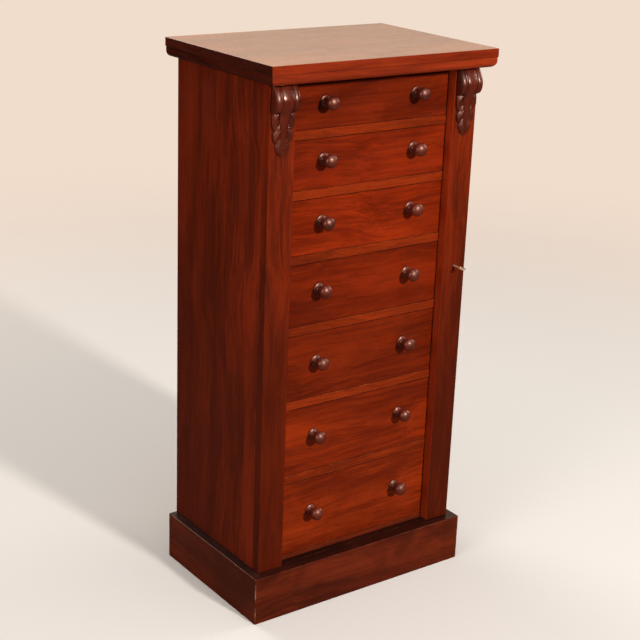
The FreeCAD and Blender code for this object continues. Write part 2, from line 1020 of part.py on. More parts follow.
def knob(label, x, z):
    """A turned knob: spigot, flange, hollow neck and domed head, all round the Y axis."""
    owner = body(label)
    crown = size.knobCrownDepth - size.knobReach
    back = size.knobHead - size.knobReach
    profile = outline(
        sketchOn(owner, "XY_Plane"),
        [
            (0, size.frontThick),
            (0, -size.knobReach, size.knobCrownRound, 1),
            (size.knobCrownWidth / 2, crown, size.knobEdgeRound, 1),
            (size.knobWidth / 2, size.knobHead / 2 - size.knobReach, size.knobBackRound, 1),
            (size.knobBackWidth / 2, back),
            (size.neckWidth / 2, back + size.knobBackTaper),
            (size.neckWidth / 2, -size.coveLength, size.coveLength, -1),
            (size.flangeWidth / 2, -size.flangeRim),
            (size.flangeWidth / 2, 0),
            (size.spigotWidth / 2, 0),
            (size.spigotWidth / 2, size.frontThick),
        ],
    )
    turn = owner.newObject("PartDesign::Revolution", owner.Name + "Turn")
    turn.Profile = profile
    turn.ReferenceAxis = (profile, ["V_Axis"])
    turn.Angle = 360
    bind(owner, "Placement.Base.x", x)
    bind(owner, "Placement.Base.y", place.drawerFace)
    bind(owner, "Placement.Base.z", z)
    return owner


def drawer(number, name):
    """Front with two knobs, two sides let into it, a back, and a bottom panel in grooves."""
    label = f"drawer_{number}"
    floor, ceiling = floors[name], ceilings[name]
    foot = floor + size.drawerFootGap
    head = ceiling - size.drawerTopGap
    wallHead = ceiling - size.wallTopGap
    face, inside = place.drawerFace, place.frontBack
    knobHeight = (floor + ceiling) / 2 + size.knobRise
    knobs = [side * size.knobSpacing / 2 for side in (-1, 1)]
    tail = inside - size.tailDepth
    panelFoot = foot + size.panelLift
    panelHead = panelFoot + size.panelThick

    front = body(label + "_front")
    sheet = sketchOn(front, "XZ_Plane", -face)
    rectangle(sheet, (-place.drawerEnd, place.drawerEnd), (foot, head))
    pad(front, sheet, size.frontThick, back=True)
    ends = sketchOn(front, "XY_Plane", foot)
    for side in (-1, 1):
        rectangle(
            ends,
            (side * place.wallInner, side * (place.drawerEnd + size.overrun)),
            (tail, inside + size.overrun),
        )
    pocket(front, ends, wallHead - foot, back=True)
    groove = rectangle(
        sketchOn(front, "XZ_Plane", -inside),
        (-place.wallInner, place.wallInner),
        (panelFoot, panelHead),
    )
    pocket(front, groove, size.panelGroove, back=True)
    holes = sketchOn(front, "XZ_Plane", -face)
    for x in knobs:
        circle(holes, x, knobHeight, size.spigotWidth)
    pocket(front, holes, size.frontThick)
    keep(front, label + "_front")

    walls = []
    for sideName, side in (("left", -1), ("right", 1)):
        x = ordered(side * place.wallInner, side * place.drawerEnd)
        walls.append(box(f"{label}_{sideName}", x, (tail, place.drawerBack), (foot, wallHead)))
    group(label + "_sides", walls)

    across = (-place.wallInner, place.wallInner)
    rear = (place.drawerBack - size.wallThick, place.drawerBack)
    keep(box(label + "_back", across, rear, (panelHead, wallHead)), label + "_back")
    keep(
        box(
            label + "_bottom",
            across,
            (inside - size.panelGroove, place.drawerBack),
            (panelFoot, panelHead),
        ),
        label + "_bottom",
    )
    group(
        label + "_knobs",
        [knob(f"{label}_knob{hand}", x, knobHeight) for hand, x in zip(("Left", "Right"), knobs)],
    )


def build():
    topBoard()
    topMouldings()
    plinth()
    carcase()
    keep(post("pilaster_left", -1, (size.plinthHeight, place.ceilingTop)), "pilaster_left")
    corbel("corbel_left", -1, place.ceilingTop)
    flapBoard()
    corbel("corbel_right", 1, place.flapHead)
    hinges()
    lock()
    key()
    for number, name in enumerate(DRAWERS, 1):
        drawer(number, name)
    DOC.recompute()


def check():
    """Stops if a feature failed or a sub-part has no sound shape."""
    for item in DOC.Objects:
        if "Invalid" in item.State or "Error" in item.State:
            raise ValueError(f"{item.Label} failed: {item.State}")
    for node in NODES:
        if node.Shape.isNull() or not node.Shape.isValid() or not node.Shape.Solids:
            raise ValueError(f"{node.Label} has no sound shape")


def write():
    os.makedirs("parts", exist_ok=True)
    for node in NODES:
        node.Shape.exportStep(os.path.join("parts", node.Label + ".step"))
    print(len(NODES), "nodes,", sum(len(node.Shape.Solids) for node in NODES), "solids")


build()
check()
write()
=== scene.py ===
import json
import math

import bmesh
import bpy
from mathutils import Matrix, Vector


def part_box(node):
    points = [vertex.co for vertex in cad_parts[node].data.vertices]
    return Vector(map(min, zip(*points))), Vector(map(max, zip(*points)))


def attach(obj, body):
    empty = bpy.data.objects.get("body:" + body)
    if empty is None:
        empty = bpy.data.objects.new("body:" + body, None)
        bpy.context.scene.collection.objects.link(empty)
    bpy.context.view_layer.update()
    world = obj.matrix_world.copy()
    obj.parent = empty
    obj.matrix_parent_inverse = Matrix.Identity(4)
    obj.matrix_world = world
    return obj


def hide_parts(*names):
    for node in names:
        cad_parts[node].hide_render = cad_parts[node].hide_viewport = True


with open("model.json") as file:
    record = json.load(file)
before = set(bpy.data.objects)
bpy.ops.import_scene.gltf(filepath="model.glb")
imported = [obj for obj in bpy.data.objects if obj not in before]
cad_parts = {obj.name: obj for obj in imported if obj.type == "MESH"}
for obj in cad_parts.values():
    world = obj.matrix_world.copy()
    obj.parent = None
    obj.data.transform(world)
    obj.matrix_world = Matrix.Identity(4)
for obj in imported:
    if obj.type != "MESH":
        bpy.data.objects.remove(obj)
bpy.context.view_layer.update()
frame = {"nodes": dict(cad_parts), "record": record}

scene = bpy.context.scene
nodes = frame["nodes"]
mm = 0.001    # metres
drawers = range(1, 8)    # from the top
print("frame loaded:", len(nodes), "nodes")


# Small helpers for node trees

mixSockets = {"factor": 0, "first": 6, "second": 7, "result": 2}    # of a Mix node set to colour


def addNode(tree, kind, values=None, **settings):
    made = tree.nodes.new(kind)
    for name, value in settings.items():
        setattr(made, name, value)
    for name, value in (values or {}).items():
        made.inputs[name].default_value = value
    return made


def join(tree, *pairs):
    for start, end in pairs:
        tree.links.new(start, end)


def feed(tree, socket, value):
    # a plain value is set on the socket, and another node's output is linked to it
    if isinstance(value, (int, float, tuple)):
        socket.default_value = value
    else:
        join(tree, (value, socket))


def linear(red, green, blue):
    # a screen colour, 0 to 255, as the linear values that shaders take
    def one(value):
        share = value / 255
        return share / 12.92 if share <= 0.04045 else ((share + 0.055) / 1.055) ** 2.4
    return (one(red), one(green), one(blue), 1)


def makeGroup(name, inputs, outputs, kind="ShaderNodeTree"):
    tree = bpy.data.node_groups.new(name, kind)
    for label, socketKind, value in inputs:
        socket = tree.interface.new_socket(name=label, in_out="INPUT", socket_type=socketKind)
        if value is not None:
            socket.default_value = value
    for label, socketKind in outputs:
        tree.interface.new_socket(name=label, in_out="OUTPUT", socket_type=socketKind)
    return tree, tree.nodes.new("NodeGroupInput"), tree.nodes.new("NodeGroupOutput")


def placeGroup(tree, group, values):
    made = tree.nodes.new("ShaderNodeGroup")
    made.node_tree = group
    for name, value in values.items():
        made.inputs[name].default_value = value
    return made


def stretched(tree, source, scale, detail, roughness, distortion):
    # noise drawn out along the grain, which runs along the group's own X
    mapping = addNode(tree, "ShaderNodeMapping", {"Scale": scale})
    noise = addNode(tree, "ShaderNodeTexNoise", {
        "Scale": 1.0, "Detail": detail, "Roughness": roughness, "Distortion": distortion,
    })
    join(
        tree,
        (source, mapping.inputs["Vector"]),
        (mapping.outputs["Vector"], noise.inputs["Vector"]),
    )
    return noise.outputs["Fac"]


def ranged(tree, source, low, high, toLow=0.0, toHigh=1.0):
    made = addNode(
        tree, "ShaderNodeMapRange",
        {"From Min": low, "From Max": high, "To Min": toLow, "To Max": toHigh},
        interpolation_type="SMOOTHSTEP",
    )
    join(tree, (source, made.inputs["Value"]))
    return made.outputs["Result"]


def mathNode(tree, operation, *values):
    made = addNode(tree, "ShaderNodeMath", operation=operation)
    for socket, value in zip(made.inputs, values):
        feed(tree, socket, value)
    return made.outputs[0]


def mixColour(tree, factor, first, second):
    made = addNode(tree, "ShaderNodeMix", data_type="RGBA")
    for name, value in (("factor", factor), ("first", first), ("second", second)):
        feed(tree, made.inputs[mixSockets[name]], value)
    return made.outputs[mixSockets["result"]]


# Effects that several materials share, each one a group

woodGrain = {
    # each layer: scale per metre along and across the grain, detail, roughness, distortion
    "figure": ((1.3, 9.0, 9.0), 3.0, 0.55, 0.8),
    "streak": ((4.0, 120.0, 120.0), 4.0, 0.6, 0.2),
    "fine": ((12.0, 520.0, 520.0), 3.0, 0.6, 0.0),
    "pore": ((45.0, 1250.0, 1250.0), 2.0, 0.5, 0.0),
    "cloud": ((5.0, 9.0, 9.0), 3.0, 0.6, 0.4),
    "shares": {"figure": 0.5, "streak": 0.32, "fine": 0.18},    # of each layer in the tone
    "toneReach": 0.16,    # from the middle tone to full light or full dark
    "poreRange": (0.58, 0.72),
    "poreDepth": 0.45,
    "poreTone": (0.02, 0.008, 0.006, 1),
    "cloudRange": (0.42, 0.68),
    "wander": 0.07,    # how far the grain strays across, in metres
    "wanderNoise": {"Scale": 3.2, "Detail": 2.0, "Roughness": 0.5},
    "step": (3.7, 1.9, 2.3),    # metres through the log for each 1 of a wood's offset
    "paintedShadeDepth": 0.7,    # the dark end of a painted shade fade, as a share of the dark figure
    "relief": 0.0006,
}


def buildGrainGroup():
    tree, start, end = makeGroup(
        "woodGrain",
        [
            ("Vector", "NodeSocketVector", None),
            ("Light", "NodeSocketColor", (0.3, 0.1, 0.05, 1)),
            ("Dark", "NodeSocketColor", (0.1, 0.03, 0.02, 1)),
            ("Contrast", "NodeSocketFloat", 1.0),
            ("Mottle", "NodeSocketFloat", 0.2),
        ],
        [("Color", "NodeSocketColor"), ("Height", "NodeSocketFloat")],
    )
    noise = addNode(tree, "ShaderNodeTexNoise", woodGrain["wanderNoise"])
    centre = addNode(tree, "ShaderNodeVectorMath", {1: (0.5, 0.5, 0.5)}, operation="SUBTRACT")
    reach = (0.0, woodGrain["wander"], woodGrain["wander"])
    across = addNode(tree, "ShaderNodeVectorMath", {1: reach}, operation="MULTIPLY")
    warped = addNode(tree, "ShaderNodeVectorMath", operation="ADD")
    join(
        tree,
        (start.outputs["Vector"], noise.inputs["Vector"]),
        (noise.outputs["Color"], centre.inputs[0]),
        (centre.outputs["Vector"], across.inputs[0]),
        (start.outputs["Vector"], warped.inputs[0]),
        (across.outputs["Vector"], warped.inputs[1]),
    )
    layers = {
        name: stretched(tree, warped.outputs["Vector"], *woodGrain[name])
        for name in ("figure", "streak", "fine", "pore", "cloud")
    }
    total = 0.0
    for name, share in woodGrain["shares"].items():
        total = mathNode(tree, "MULTIPLY_ADD", layers[name], share, total)
    centred = mathNode(tree, "SUBTRACT", total, 0.5)
    spread = mathNode(tree, "MULTIPLY", centred, start.outputs["Contrast"])
    tone = ranged(tree, spread, -woodGrain["toneReach"], woodGrain["toneReach"])
    wood = mixColour(tree, tone, start.outputs["Dark"], start.outputs["Light"])
    clouds = ranged(tree, layers["cloud"], *woodGrain["cloudRange"])
    cloudy = mathNode(tree, "MULTIPLY", clouds, start.outputs["Mottle"])
    wood = mixColour(tree, cloudy, wood, start.outputs["Dark"])
    pores = ranged(tree, layers["pore"], *woodGrain["poreRange"])
    filled = mathNode(tree, "MULTIPLY", pores, woodGrain["poreDepth"])
    wood = mixColour(tree, filled, wood, woodGrain["poreTone"])
    height = mathNode(tree, "SUBTRACT", layers["streak"], pores)
    join(tree, (wood, end.inputs["Color"]), (height, end.inputs["Height"]))
    return tree


arrisWearAndPaintedLight = {
    "samples": 4,
    "turn": (0.02, 0.3),    # how far the rounded normal leaves the face, from unmarked to fully marked
    "patchNoise": {"Scale": 38.0, "Detail": 4.0, "Roughness": 0.65},
    "patches": (0.42, 0.66),
}


def buildWearGroup():
    # 1 along the outer arrises, broken up where hands and feet have not reached; its tone gives
    # wear on most woods, a painted highlight on some and painted shade on others
    tree, start, end = makeGroup(
        "arrisWearAndPaintedLight",
        [
            ("Vector", "NodeSocketVector", None),
            ("Radius", "NodeSocketFloat", 0.0015),
            ("Amount", "NodeSocketFloat", 0.5),
            ("Least", "NodeSocketFloat", 0.0),
        ],
        [("Mask", "NodeSocketFloat")],
    )
    bevel = addNode(tree, "ShaderNodeBevel", samples=arrisWearAndPaintedLight["samples"])
    shape = tree.nodes.new("ShaderNodeNewGeometry")
    facing = addNode(tree, "ShaderNodeVectorMath", operation="DOT_PRODUCT")
    broken = addNode(tree, "ShaderNodeTexNoise", arrisWearAndPaintedLight["patchNoise"])
    join(
        tree,
        (start.outputs["Radius"], bevel.inputs["Radius"]),
        (bevel.outputs["Normal"], facing.inputs[0]),
        (shape.outputs["Normal"], facing.inputs[1]),
        (start.outputs["Vector"], broken.inputs["Vector"]),
    )
    turned = mathNode(tree, "SUBTRACT", 1.0, facing.outputs["Value"])
    edge = ranged(tree, turned, *arrisWearAndPaintedLight["turn"])
    patches = ranged(tree, broken.outputs["Fac"], *arrisWearAndPaintedLight["patches"])
    patches = mathNode(tree, "MAXIMUM", patches, start.outputs["Least"])
    mask = mathNode(tree, "MULTIPLY", edge, patches)
    mask = mathNode(tree, "MULTIPLY", mask, start.outputs["Amount"])
    join(tree, (mask, end.inputs["Mask"]))
    return tree


polishRubs = {
    "cloud": ((14.0, 30.0, 30.0), 5.0, 0.7, 0.5),
    "range": (0.3, 0.75),
}


def buildPolishGroup():
    # faint clouds and rubs in the polish
    tree, start, end = makeGroup(
        "polishRubs",
        [
            ("Vector", "NodeSocketVector", None),
            ("Low", "NodeSocketFloat", 0.2),
            ("High", "NodeSocketFloat", 0.4),
        ],
        [("Roughness", "NodeSocketFloat")],
    )
    rubs = stretched(tree, start.outputs["Vector"], *polishRubs["cloud"])
    amount = ranged(tree, rubs, *polishRubs["range"])
    span = mathNode(tree, "SUBTRACT", start.outputs["High"], start.outputs["Low"])
    rough = mathNode(tree, "MULTIPLY_ADD", amount, span, start.outputs["Low"])
    join(tree, (rough, end.inputs["Roughness"]))
    return tree


# grime and painted shade: a near black tone where corners and gaps are shut in
cornerGrimeAndShade = {
    "samples": 6,
    "reach": 0.0065,
    "shut": (0.35, 0.85),    # how open a spot is, from full of grime and painted shade to clean
    "tone": (0.012, 0.004, 0.003, 1),
}


def buildGrimeGroup():
    # old polish and dust gather in corners and gaps, and these are darkened further as painted
    # shade, where shade falls
    tree, start, end = makeGroup(
        "cornerGrimeAndShade",
        [
            ("Reach", "NodeSocketFloat", cornerGrimeAndShade["reach"]),
            ("Amount", "NodeSocketFloat", 0.8),
        ],
        [("Mask", "NodeSocketFloat")],
    )
    corner = addNode(tree, "ShaderNodeAmbientOcclusion", samples=cornerGrimeAndShade["samples"])
    join(tree, (start.outputs["Reach"], corner.inputs["Distance"]))
    deep = ranged(tree, corner.outputs["AO"], *cornerGrimeAndShade["shut"], 1.0, 0.0)
    mask = mathNode(tree, "MULTIPLY", deep, start.outputs["Amount"])
    join(tree, (mask, end.inputs["Mask"]))
    return tree


grainGroup = buildGrainGroup()
arrisWearAndPaintedLightGroup = buildWearGroup()
polishGroup = buildPolishGroup()
grimeAndShadeGroup = buildGrimeGroup()
print("groups built")


# Woods: a wood has what woodBase gives, or the one that it is like, unless it says otherwise

woodBase = {
    # colours are screen values
    "offset": 0.0,    # where in the log the board was cut
    "contrast": 1.0,
    "mottle": 0.2,
    "worn": (168, 84, 46),
    "wear": 0.5,
    "edge": (1.5, 0.0),    # how far in an arris the mark of wear and painted light reaches, in millimetres, and its least cover
    "grime": 0.9,
    "fades": (),    # painted shade, darker towards one end where less light falls: axis, where it begins and ends in metres, strength
    "rough": (0.26, 0.42),
    "bump": 0.12,
    "coat": 0.06,
    "coatRough": 0.14,
    "specular": 0.13,
    "tint": (1.0, 0.82, 0.64, 1),    # of the gloss
}
woods = {
    "topMahogany": {
        "along": "x", "light": (192, 104, 58), "dark": (138, 66, 34),
        "offset": 0.3, "contrast": 1.2, "mottle": 0.3, "wear": 0.25,
        "rough": (0.14, 0.3), "coat": 0.7, "specular": 0.5,
    },
    "slabEdgeMahogany": {
        "along": "x", "light": (162, 52, 18), "dark": (108, 30, 10),
        # painted shade: the dark arris tone stands for the shade in the groove between the slab and
        # the moulding
        "offset": 0.7, "worn": (58, 18, 9), "wear": 0.85, "edge": (2.6, 0.7),
    },
    # painted shade: the slab's end faces are a darker copy of its edge, as the sides lie in shade
    "shadedSlabEndMahogany": {
        "along": "y", "light": (86, 30, 16), "dark": (46, 15, 9),
        "offset": 0.9, "wear": 0.4,
    },
    "mouldMahoganyAcross": {
        "along": "x", "light": (168, 56, 20), "dark": (112, 32, 13),
        "offset": 1.1, "coat": 0.25, "wear": 0.3,
    },
    # painted shade: the side strips are a darker copy of the front strip, as the sides lie in shade
    "shadedMouldMahoganyAlong": {
        "along": "y", "light": (92, 29, 13), "dark": (54, 15, 8),
        "offset": 1.7, "wear": 0.3,
    },
    "plinthMahoganyAcross": {
        "along": "x", "light": (120, 42, 18), "dark": (56, 17, 9),
        "offset": 2.1, "contrast": 0.75, "mottle": 0.7, "worn": (214, 150, 112), "wear": 1.0,
        "edge": (3.2, 0.0), "rough": (0.24, 0.4), "coat": 0.16,
    },
    "plinthMahoganyAlong": {
        "like": "plinthMahoganyAcross", "along": "y", "light": (126, 46, 23),
        "dark": (70, 24, 13), "offset": 2.9, "mottle": 0.65,
    },
    # painted shade and reflection: near black, for the shade under the top and before the drawers,
    # and the dark reflection in the plinth's top
    "shadedLedgeMahogany": {
        "along": "x", "light": (62, 21, 12), "dark": (26, 9, 6),
        "offset": 2.5, "mottle": 0.5, "worn": (150, 84, 52), "wear": 0.6, "coat": 0.12,
    },
    "footMahogany": {
        "along": "x", "light": (132, 46, 20), "dark": (84, 26, 12),
        "offset": 5.7, "worn": (196, 118, 72), "wear": 0.8,
    },
    "sideMahogany": {
        "along": "z", "light": (160, 48, 13), "dark": (92, 26, 8),
        "offset": 4.6, "contrast": 1.35, "mottle": 0.45, "wear": 0.25, "rough": (0.32, 0.5),
        "fades": (("Z", 1.25, 0.3, 0.4), ("Y", -0.15, 0.12, 0.5)),
    },
    "postMahogany": {
        "along": "z", "light": (136, 40, 11), "dark": (84, 24, 7),
        "offset": 4.1, "contrast": 1.5, "worn": (186, 108, 66), "wear": 0.45,
        "fades": (("Z", 1.15, 0.35, 0.65),),
    },
    # painted light: the flap's inner edge is lighter than the post, for light that the lamps give
    # it too little
    "litPostEdgeMahogany": {
        "along": "z", "light": (206, 70, 30), "dark": (150, 48, 19),
        "offset": 4.4, "worn": (200, 118, 70), "wear": 0.45, "fades": (("Z", 1.15, 0.35, 0.6),),
    },
    "railMahogany": {
        "along": "x", "light": (152, 49, 12), "dark": (104, 30, 7),
        # wear and painted highlight along the rails' arrises
        "offset": 4.9, "contrast": 1.3, "worn": (205, 120, 66), "wear": 1.0,
    },
    "carvedMahogany": {
        "along": "z", "light": (106, 32, 14), "dark": (50, 15, 8),
        # wear and painted highlight: the ridges are lighter both as rubbed and as lit
        "offset": 5.3, "mottle": 0.35, "worn": (176, 84, 46), "wear": 1.0, "grime": 1.0,
        "rough": (0.22, 0.4), "coat": 0.0, "specular": 0.9, "tint": (1.0, 0.66, 0.52, 1),
    },
    "turnedMahogany": {
        "along": "y", "light": (112, 35, 18), "dark": (58, 17, 9),
        "offset": 5.9, "mottle": 0.3, "worn": (150, 78, 50), "wear": 0.25, "grime": 0.3,
        "rough": (0.36, 0.5), "bump": 0.05, "coat": 0.0, "specular": 1.4,
        "tint": (1.0, 0.56, 0.41, 1),
    },
    "liningOak": {
        "along": "y", "light": (196, 158, 110), "dark": (158, 118, 74),
        "offset": 6.7, "worn": (206, 172, 126), "wear": 0.3,
        "rough": (0.55, 0.75), "bump": 0.3, "coat": 0.0,
    },
    "liningOakAcross": {"like": "liningOak", "along": "x", "offset": 7.9},
    "insidePine": {
        "along": "y", "light": (190, 146, 92), "dark": (150, 104, 58),
        "offset": 8.3, "worn": (200, 160, 110), "wear": 0.2,
        "rough": (0.6, 0.8), "bump": 0.3, "coat": 0.0,
    },
    "backPine": {
        "along": "z", "light": (186, 134, 80), "dark": (136, 88, 48),
        "offset": 9.1, "mottle": 0.12, "worn": (196, 150, 98), "wear": 0.6,
        "rough": (0.65, 0.85), "bump": 0.35, "coat": 0.0,
    },
}
fronts = {
    # from the top drawer down
    "tones": (
        (133, 38, 8), (144, 40, 8), (160, 46, 8), (136, 38, 7),
        (126, 36, 7), (149, 45, 9), (152, 48, 10),
    ),
    "light": (1.02, 1.03, 1.03),    # times the tone
    "dark": (0.67, 0.57, 0.58),
    "firstOffset": 10,
    "nextOffset": 1.37,
    # painted shade: the dark arris tone darkens the fronts' edges, standing for the shade in the
    # gaps between drawers and rails
    "look": {"contrast": 1.35, "mottle": 0.4, "worn": (44, 13, 7), "wear": 1.0, "edge": (3.6, 1.0)},
}
for number, tone in zip(drawers, fronts["tones"]):
    woods[f"frontMahogany{number}"] = {
        "along": "x",
        "light": tuple(part * share for part, share in zip(tone, fronts["light"])),
        "dark": tuple(part * share for part, share in zip(tone, fronts["dark"])),
        "offset": fronts["firstOffset"] + number * fronts["nextOffset"],
        **fronts["look"],
    }
grainTurns = {
    "x": (0.0, 0.0, 0.0),
    "y": (0.0, 0.0, -math.pi / 2),
    "z": (0.0, math.pi / 2, 0.0),
}


def startMaterial(name):
    material = bpy.data.materials.new(name)
    material.use_nodes = True
    tree = material.node_tree
    return material, tree, tree.nodes["Principled BSDF"], tree.nodes.new("ShaderNodeTexCoord")


def makeWood(name, own):
    wood = {**woodBase, **woods.get(own.get("like"), {}), **own}
    material, tree, shader, place = startMaterial(name)
    light, dark, worn = (linear(*wood[part]) for part in ("light", "dark", "worn"))
    cutAt = tuple(wood["offset"] * part for part in woodGrain["step"])
    mapping = addNode(
        tree, "ShaderNodeMapping", {"Rotation": grainTurns[wood["along"]], "Location": cutAt},
    )
    grain = placeGroup(tree, grainGroup, {
        "Light": light, "Dark": dark, "Contrast": wood["contrast"], "Mottle": wood["mottle"],
    })
    arrisWearAndPaintedLightMask = placeGroup(tree, arrisWearAndPaintedLightGroup, {
        "Amount": wood["wear"], "Radius": wood["edge"][0] * mm, "Least": wood["edge"][1],
    })
    polish = placeGroup(tree, polishGroup, {"Low": wood["rough"][0], "High": wood["rough"][1]})
    corners = placeGroup(tree, grimeAndShadeGroup, {"Amount": wood["grime"]})
    colour = grain.outputs["Color"]
    paintedShadeEnd = tuple(part * woodGrain["paintedShadeDepth"] for part in dark[:3]) + (1,)
    # painted shade: each fade darkens the colour towards one end, as the light falls off there
    for axis, begin, end, strength in wood["fades"]:
        split = tree.nodes.new("ShaderNodeSeparateXYZ")
        join(tree, (place.outputs["Object"], split.inputs[0]))
        amount = ranged(tree, split.outputs[axis], begin, end, 0.0, strength)
        colour = mixColour(tree, amount, colour, paintedShadeEnd)
    # painted shade and grime: corners and gaps darkened towards near black, where shade falls and
    # dust gathers
    colour = mixColour(tree, corners.outputs["Mask"], colour, cornerGrimeAndShade["tone"])
    # wear on the arrises; with a dark tone this is painted shade, and with some light tones partly
    # a painted highlight
    colour = mixColour(tree, arrisWearAndPaintedLightMask.outputs["Mask"], colour, worn)
    relief = addNode(
        tree, "ShaderNodeBump", {"Strength": wood["bump"], "Distance": woodGrain["relief"]},
    )
    join(
        tree,
        (place.outputs["Object"], mapping.inputs["Vector"]),
        (mapping.outputs["Vector"], grain.inputs["Vector"]),
        (place.outputs["Object"], arrisWearAndPaintedLightMask.inputs["Vector"]),
        (mapping.outputs["Vector"], polish.inputs["Vector"]),
        (colour, shader.inputs["Base Color"]),
        (polish.outputs["Roughness"], shader.inputs["Roughness"]),
        (grain.outputs["Height"], relief.inputs["Height"]),
        (relief.outputs["Normal"], shader.inputs["Normal"]),
    )
    shader.inputs["Specular IOR Level"].default_value = wood["specular"]
    shader.inputs["Specular Tint"].default_value = wood["tint"]
    shader.inputs["Coat Weight"].default_value = wood["coat"]
    shader.inputs["Coat Roughness"].default_value = wood["coatRough"]
    return material


metals = {
    "oldBrass": {
        "bright": (214, 176, 110), "tarnished": (150, 112, 62),
        "rough": (0.3, 0.5), "metallic": 0.85,
    },
    "screwBrass": {
        "bright": (226, 192, 128), "tarnished": (140, 104, 60),
        "rough": (0.25, 0.4), "metallic": 0.85,
    },
    "keyBrass": {
        "bright": (226, 186, 152), "tarnished": (168, 124, 92),
        "rough": (0.35, 0.5), "metallic": 0.55,
    },
}
tarnish = {
    "noise": {"Scale": 140.0, "Detail": 7.0, "Roughness": 0.7},
    "range": (0.35, 0.8),
}


def makeBrass(name, metal):
    material, tree, shader, place = startMaterial(name)
    spots = addNode(tree, "ShaderNodeTexNoise", tarnish["noise"])
    amount = ranged(tree, spots.outputs["Fac"], *tarnish["range"])
    colour = mixColour(tree, amount, linear(*metal["bright"]), linear(*metal["tarnished"]))
    polish = placeGroup(tree, polishGroup, {"Low": metal["rough"][0], "High": metal["rough"][1]})
    join(
        tree,
        (place.outputs["Object"], spots.inputs["Vector"]),
        (place.outputs["Object"], polish.inputs["Vector"]),
        (colour, shader.inputs["Base Color"]),
        (polish.outputs["Roughness"], shader.inputs["Roughness"]),
    )
    shader.inputs["Metallic"].default_value = metal["metallic"]
    return material


finishes = {name: makeWood(name, wood) for name, wood in woods.items()}
finishes.update({name: makeBrass(name, metal) for name, metal in metals.items()})
print("finishes made:", len(finishes))


# Making pieces

making = {
    "weld": 0.02 * mm,
    "flat": math.radians(0.4),    # faces that turn less than this are one face
    "arrisFrom": math.radians(40),    # edges that turn more than this are arrises
    "arrisSteps": 2,
    "shadeOver": math.radians(35),    # shading runs on between faces that turn less than this
}


def linked(name, mesh):
    made = bpy.data.objects.new(name, mesh)
    scene.collection.objects.link(made)
    return made


def meshFrom(made, name):
    mesh = bpy.data.meshes.new(name)
    made.to_mesh(mesh)
    made.free()
    return mesh


def plainMesh(holder):
    # the holder's mesh with its modifiers done, and the holder goes
    current = bpy.context.evaluated_depsgraph_get()
    result = bpy.data.meshes.new_from_object(holder.evaluated_get(current))
    bpy.data.objects.remove(holder)
    return result


def finishPiece(name, mesh, body, finish, slotName, replaced, smoothAngle=None):
    piece = linked(name, mesh)
    mesh.materials.clear()
    mesh.materials.append(finishes[finish])
    if smoothAngle:
        for face in mesh.polygons:
            face.use_smooth = True
        mesh.set_sharp_from_angle(angle=math.radians(smoothAngle))
    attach(piece, body)
    if replaced:
        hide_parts(*replaced)


def paintFaces(mesh, finish, wanted):
    # a further finish on the faces that are wanted
    mesh.materials.append(finishes[finish])
    for face in mesh.polygons:
        if wanted(face):
            face.material_index = len(mesh.materials) - 1


def solidsOf(made, near):
    # the triangles come solid by solid: a solid ends where every edge has met its twin
    twins = bmesh.ops.find_doubles(made, verts=made.verts, dist=near)["targetmap"]
    solids, current, waiting = [], [], set()
    for face in made.faces:
        current.append(face)
        keys = [twins.get(vert, vert) for vert in face.verts]
        for first, second in zip(keys, keys[1:] + keys[:1]):
            if (second, first) in waiting:
                waiting.remove((second, first))
            elif first is not second:
                waiting.add((first, second))
        if not waiting:
            solids.append(current)
            current = []
    return solids + [current] if current else solids


def mergedCopy(nodeName):
    # a CAD node is loose triangles: this welds each solid by itself and joins its flat faces
    near = making["weld"]
    made = bmesh.new()
    made.from_mesh(nodes[nodeName].data)
    for solid in solidsOf(made, near):
        corners = dict.fromkeys(vert for face in solid for vert in face.verts)    # keeps order
        bmesh.ops.remove_doubles(made, verts=list(corners), dist=near)
    bmesh.ops.dissolve_limit(
        made, angle_limit=making["flat"], verts=made.verts, edges=made.edges,
    )
    return made


def shadeByArea(mesh):
    # a corner's normal follows the largest faces around it, so flats stay flat by soft arrises
    least = math.cos(making["shadeOver"])
    around = {}
    for face in mesh.polygons:
        face.use_smooth = True
        for vertex in face.vertices:
            around.setdefault(vertex, []).append((face.normal.copy(), face.area))
    normals = []
    for face in mesh.polygons:
        for vertex in face.vertices:
            total = Vector((0, 0, 0))
            for normal, area in around[vertex]:
                if normal.dot(face.normal) > least:
                    total += normal * area
            normals.append(total.normalized())
    mesh.normals_split_custom_set(normals)


def softened(nodeName, width, sinks=None):
    # the CAD piece with its arrises just broken, as a plane and sandpaper leave them
    holder = linked(nodeName + "Soft", meshFrom(mergedCopy(nodeName), nodeName + "Soft"))
    if sinks:
        cutter = linked(nodeName + "Sinks", sinks)
        cut = holder.modifiers.new("sinks", "BOOLEAN")
        cut.operation = "DIFFERENCE"
        cut.solver = "EXACT"
        cut.object = cutter
    bevel = holder.modifiers.new("arris", "BEVEL")
    bevel.width = width
    bevel.segments = making["arrisSteps"]
    bevel.limit_method = "ANGLE"
    bevel.angle_limit = making["arrisFrom"]
    bevel.use_clamp_overlap = True
    result = plainMesh(holder)
    if sinks:
        bpy.data.objects.remove(cutter)
    shadeByArea(result)
    return result


# Boards

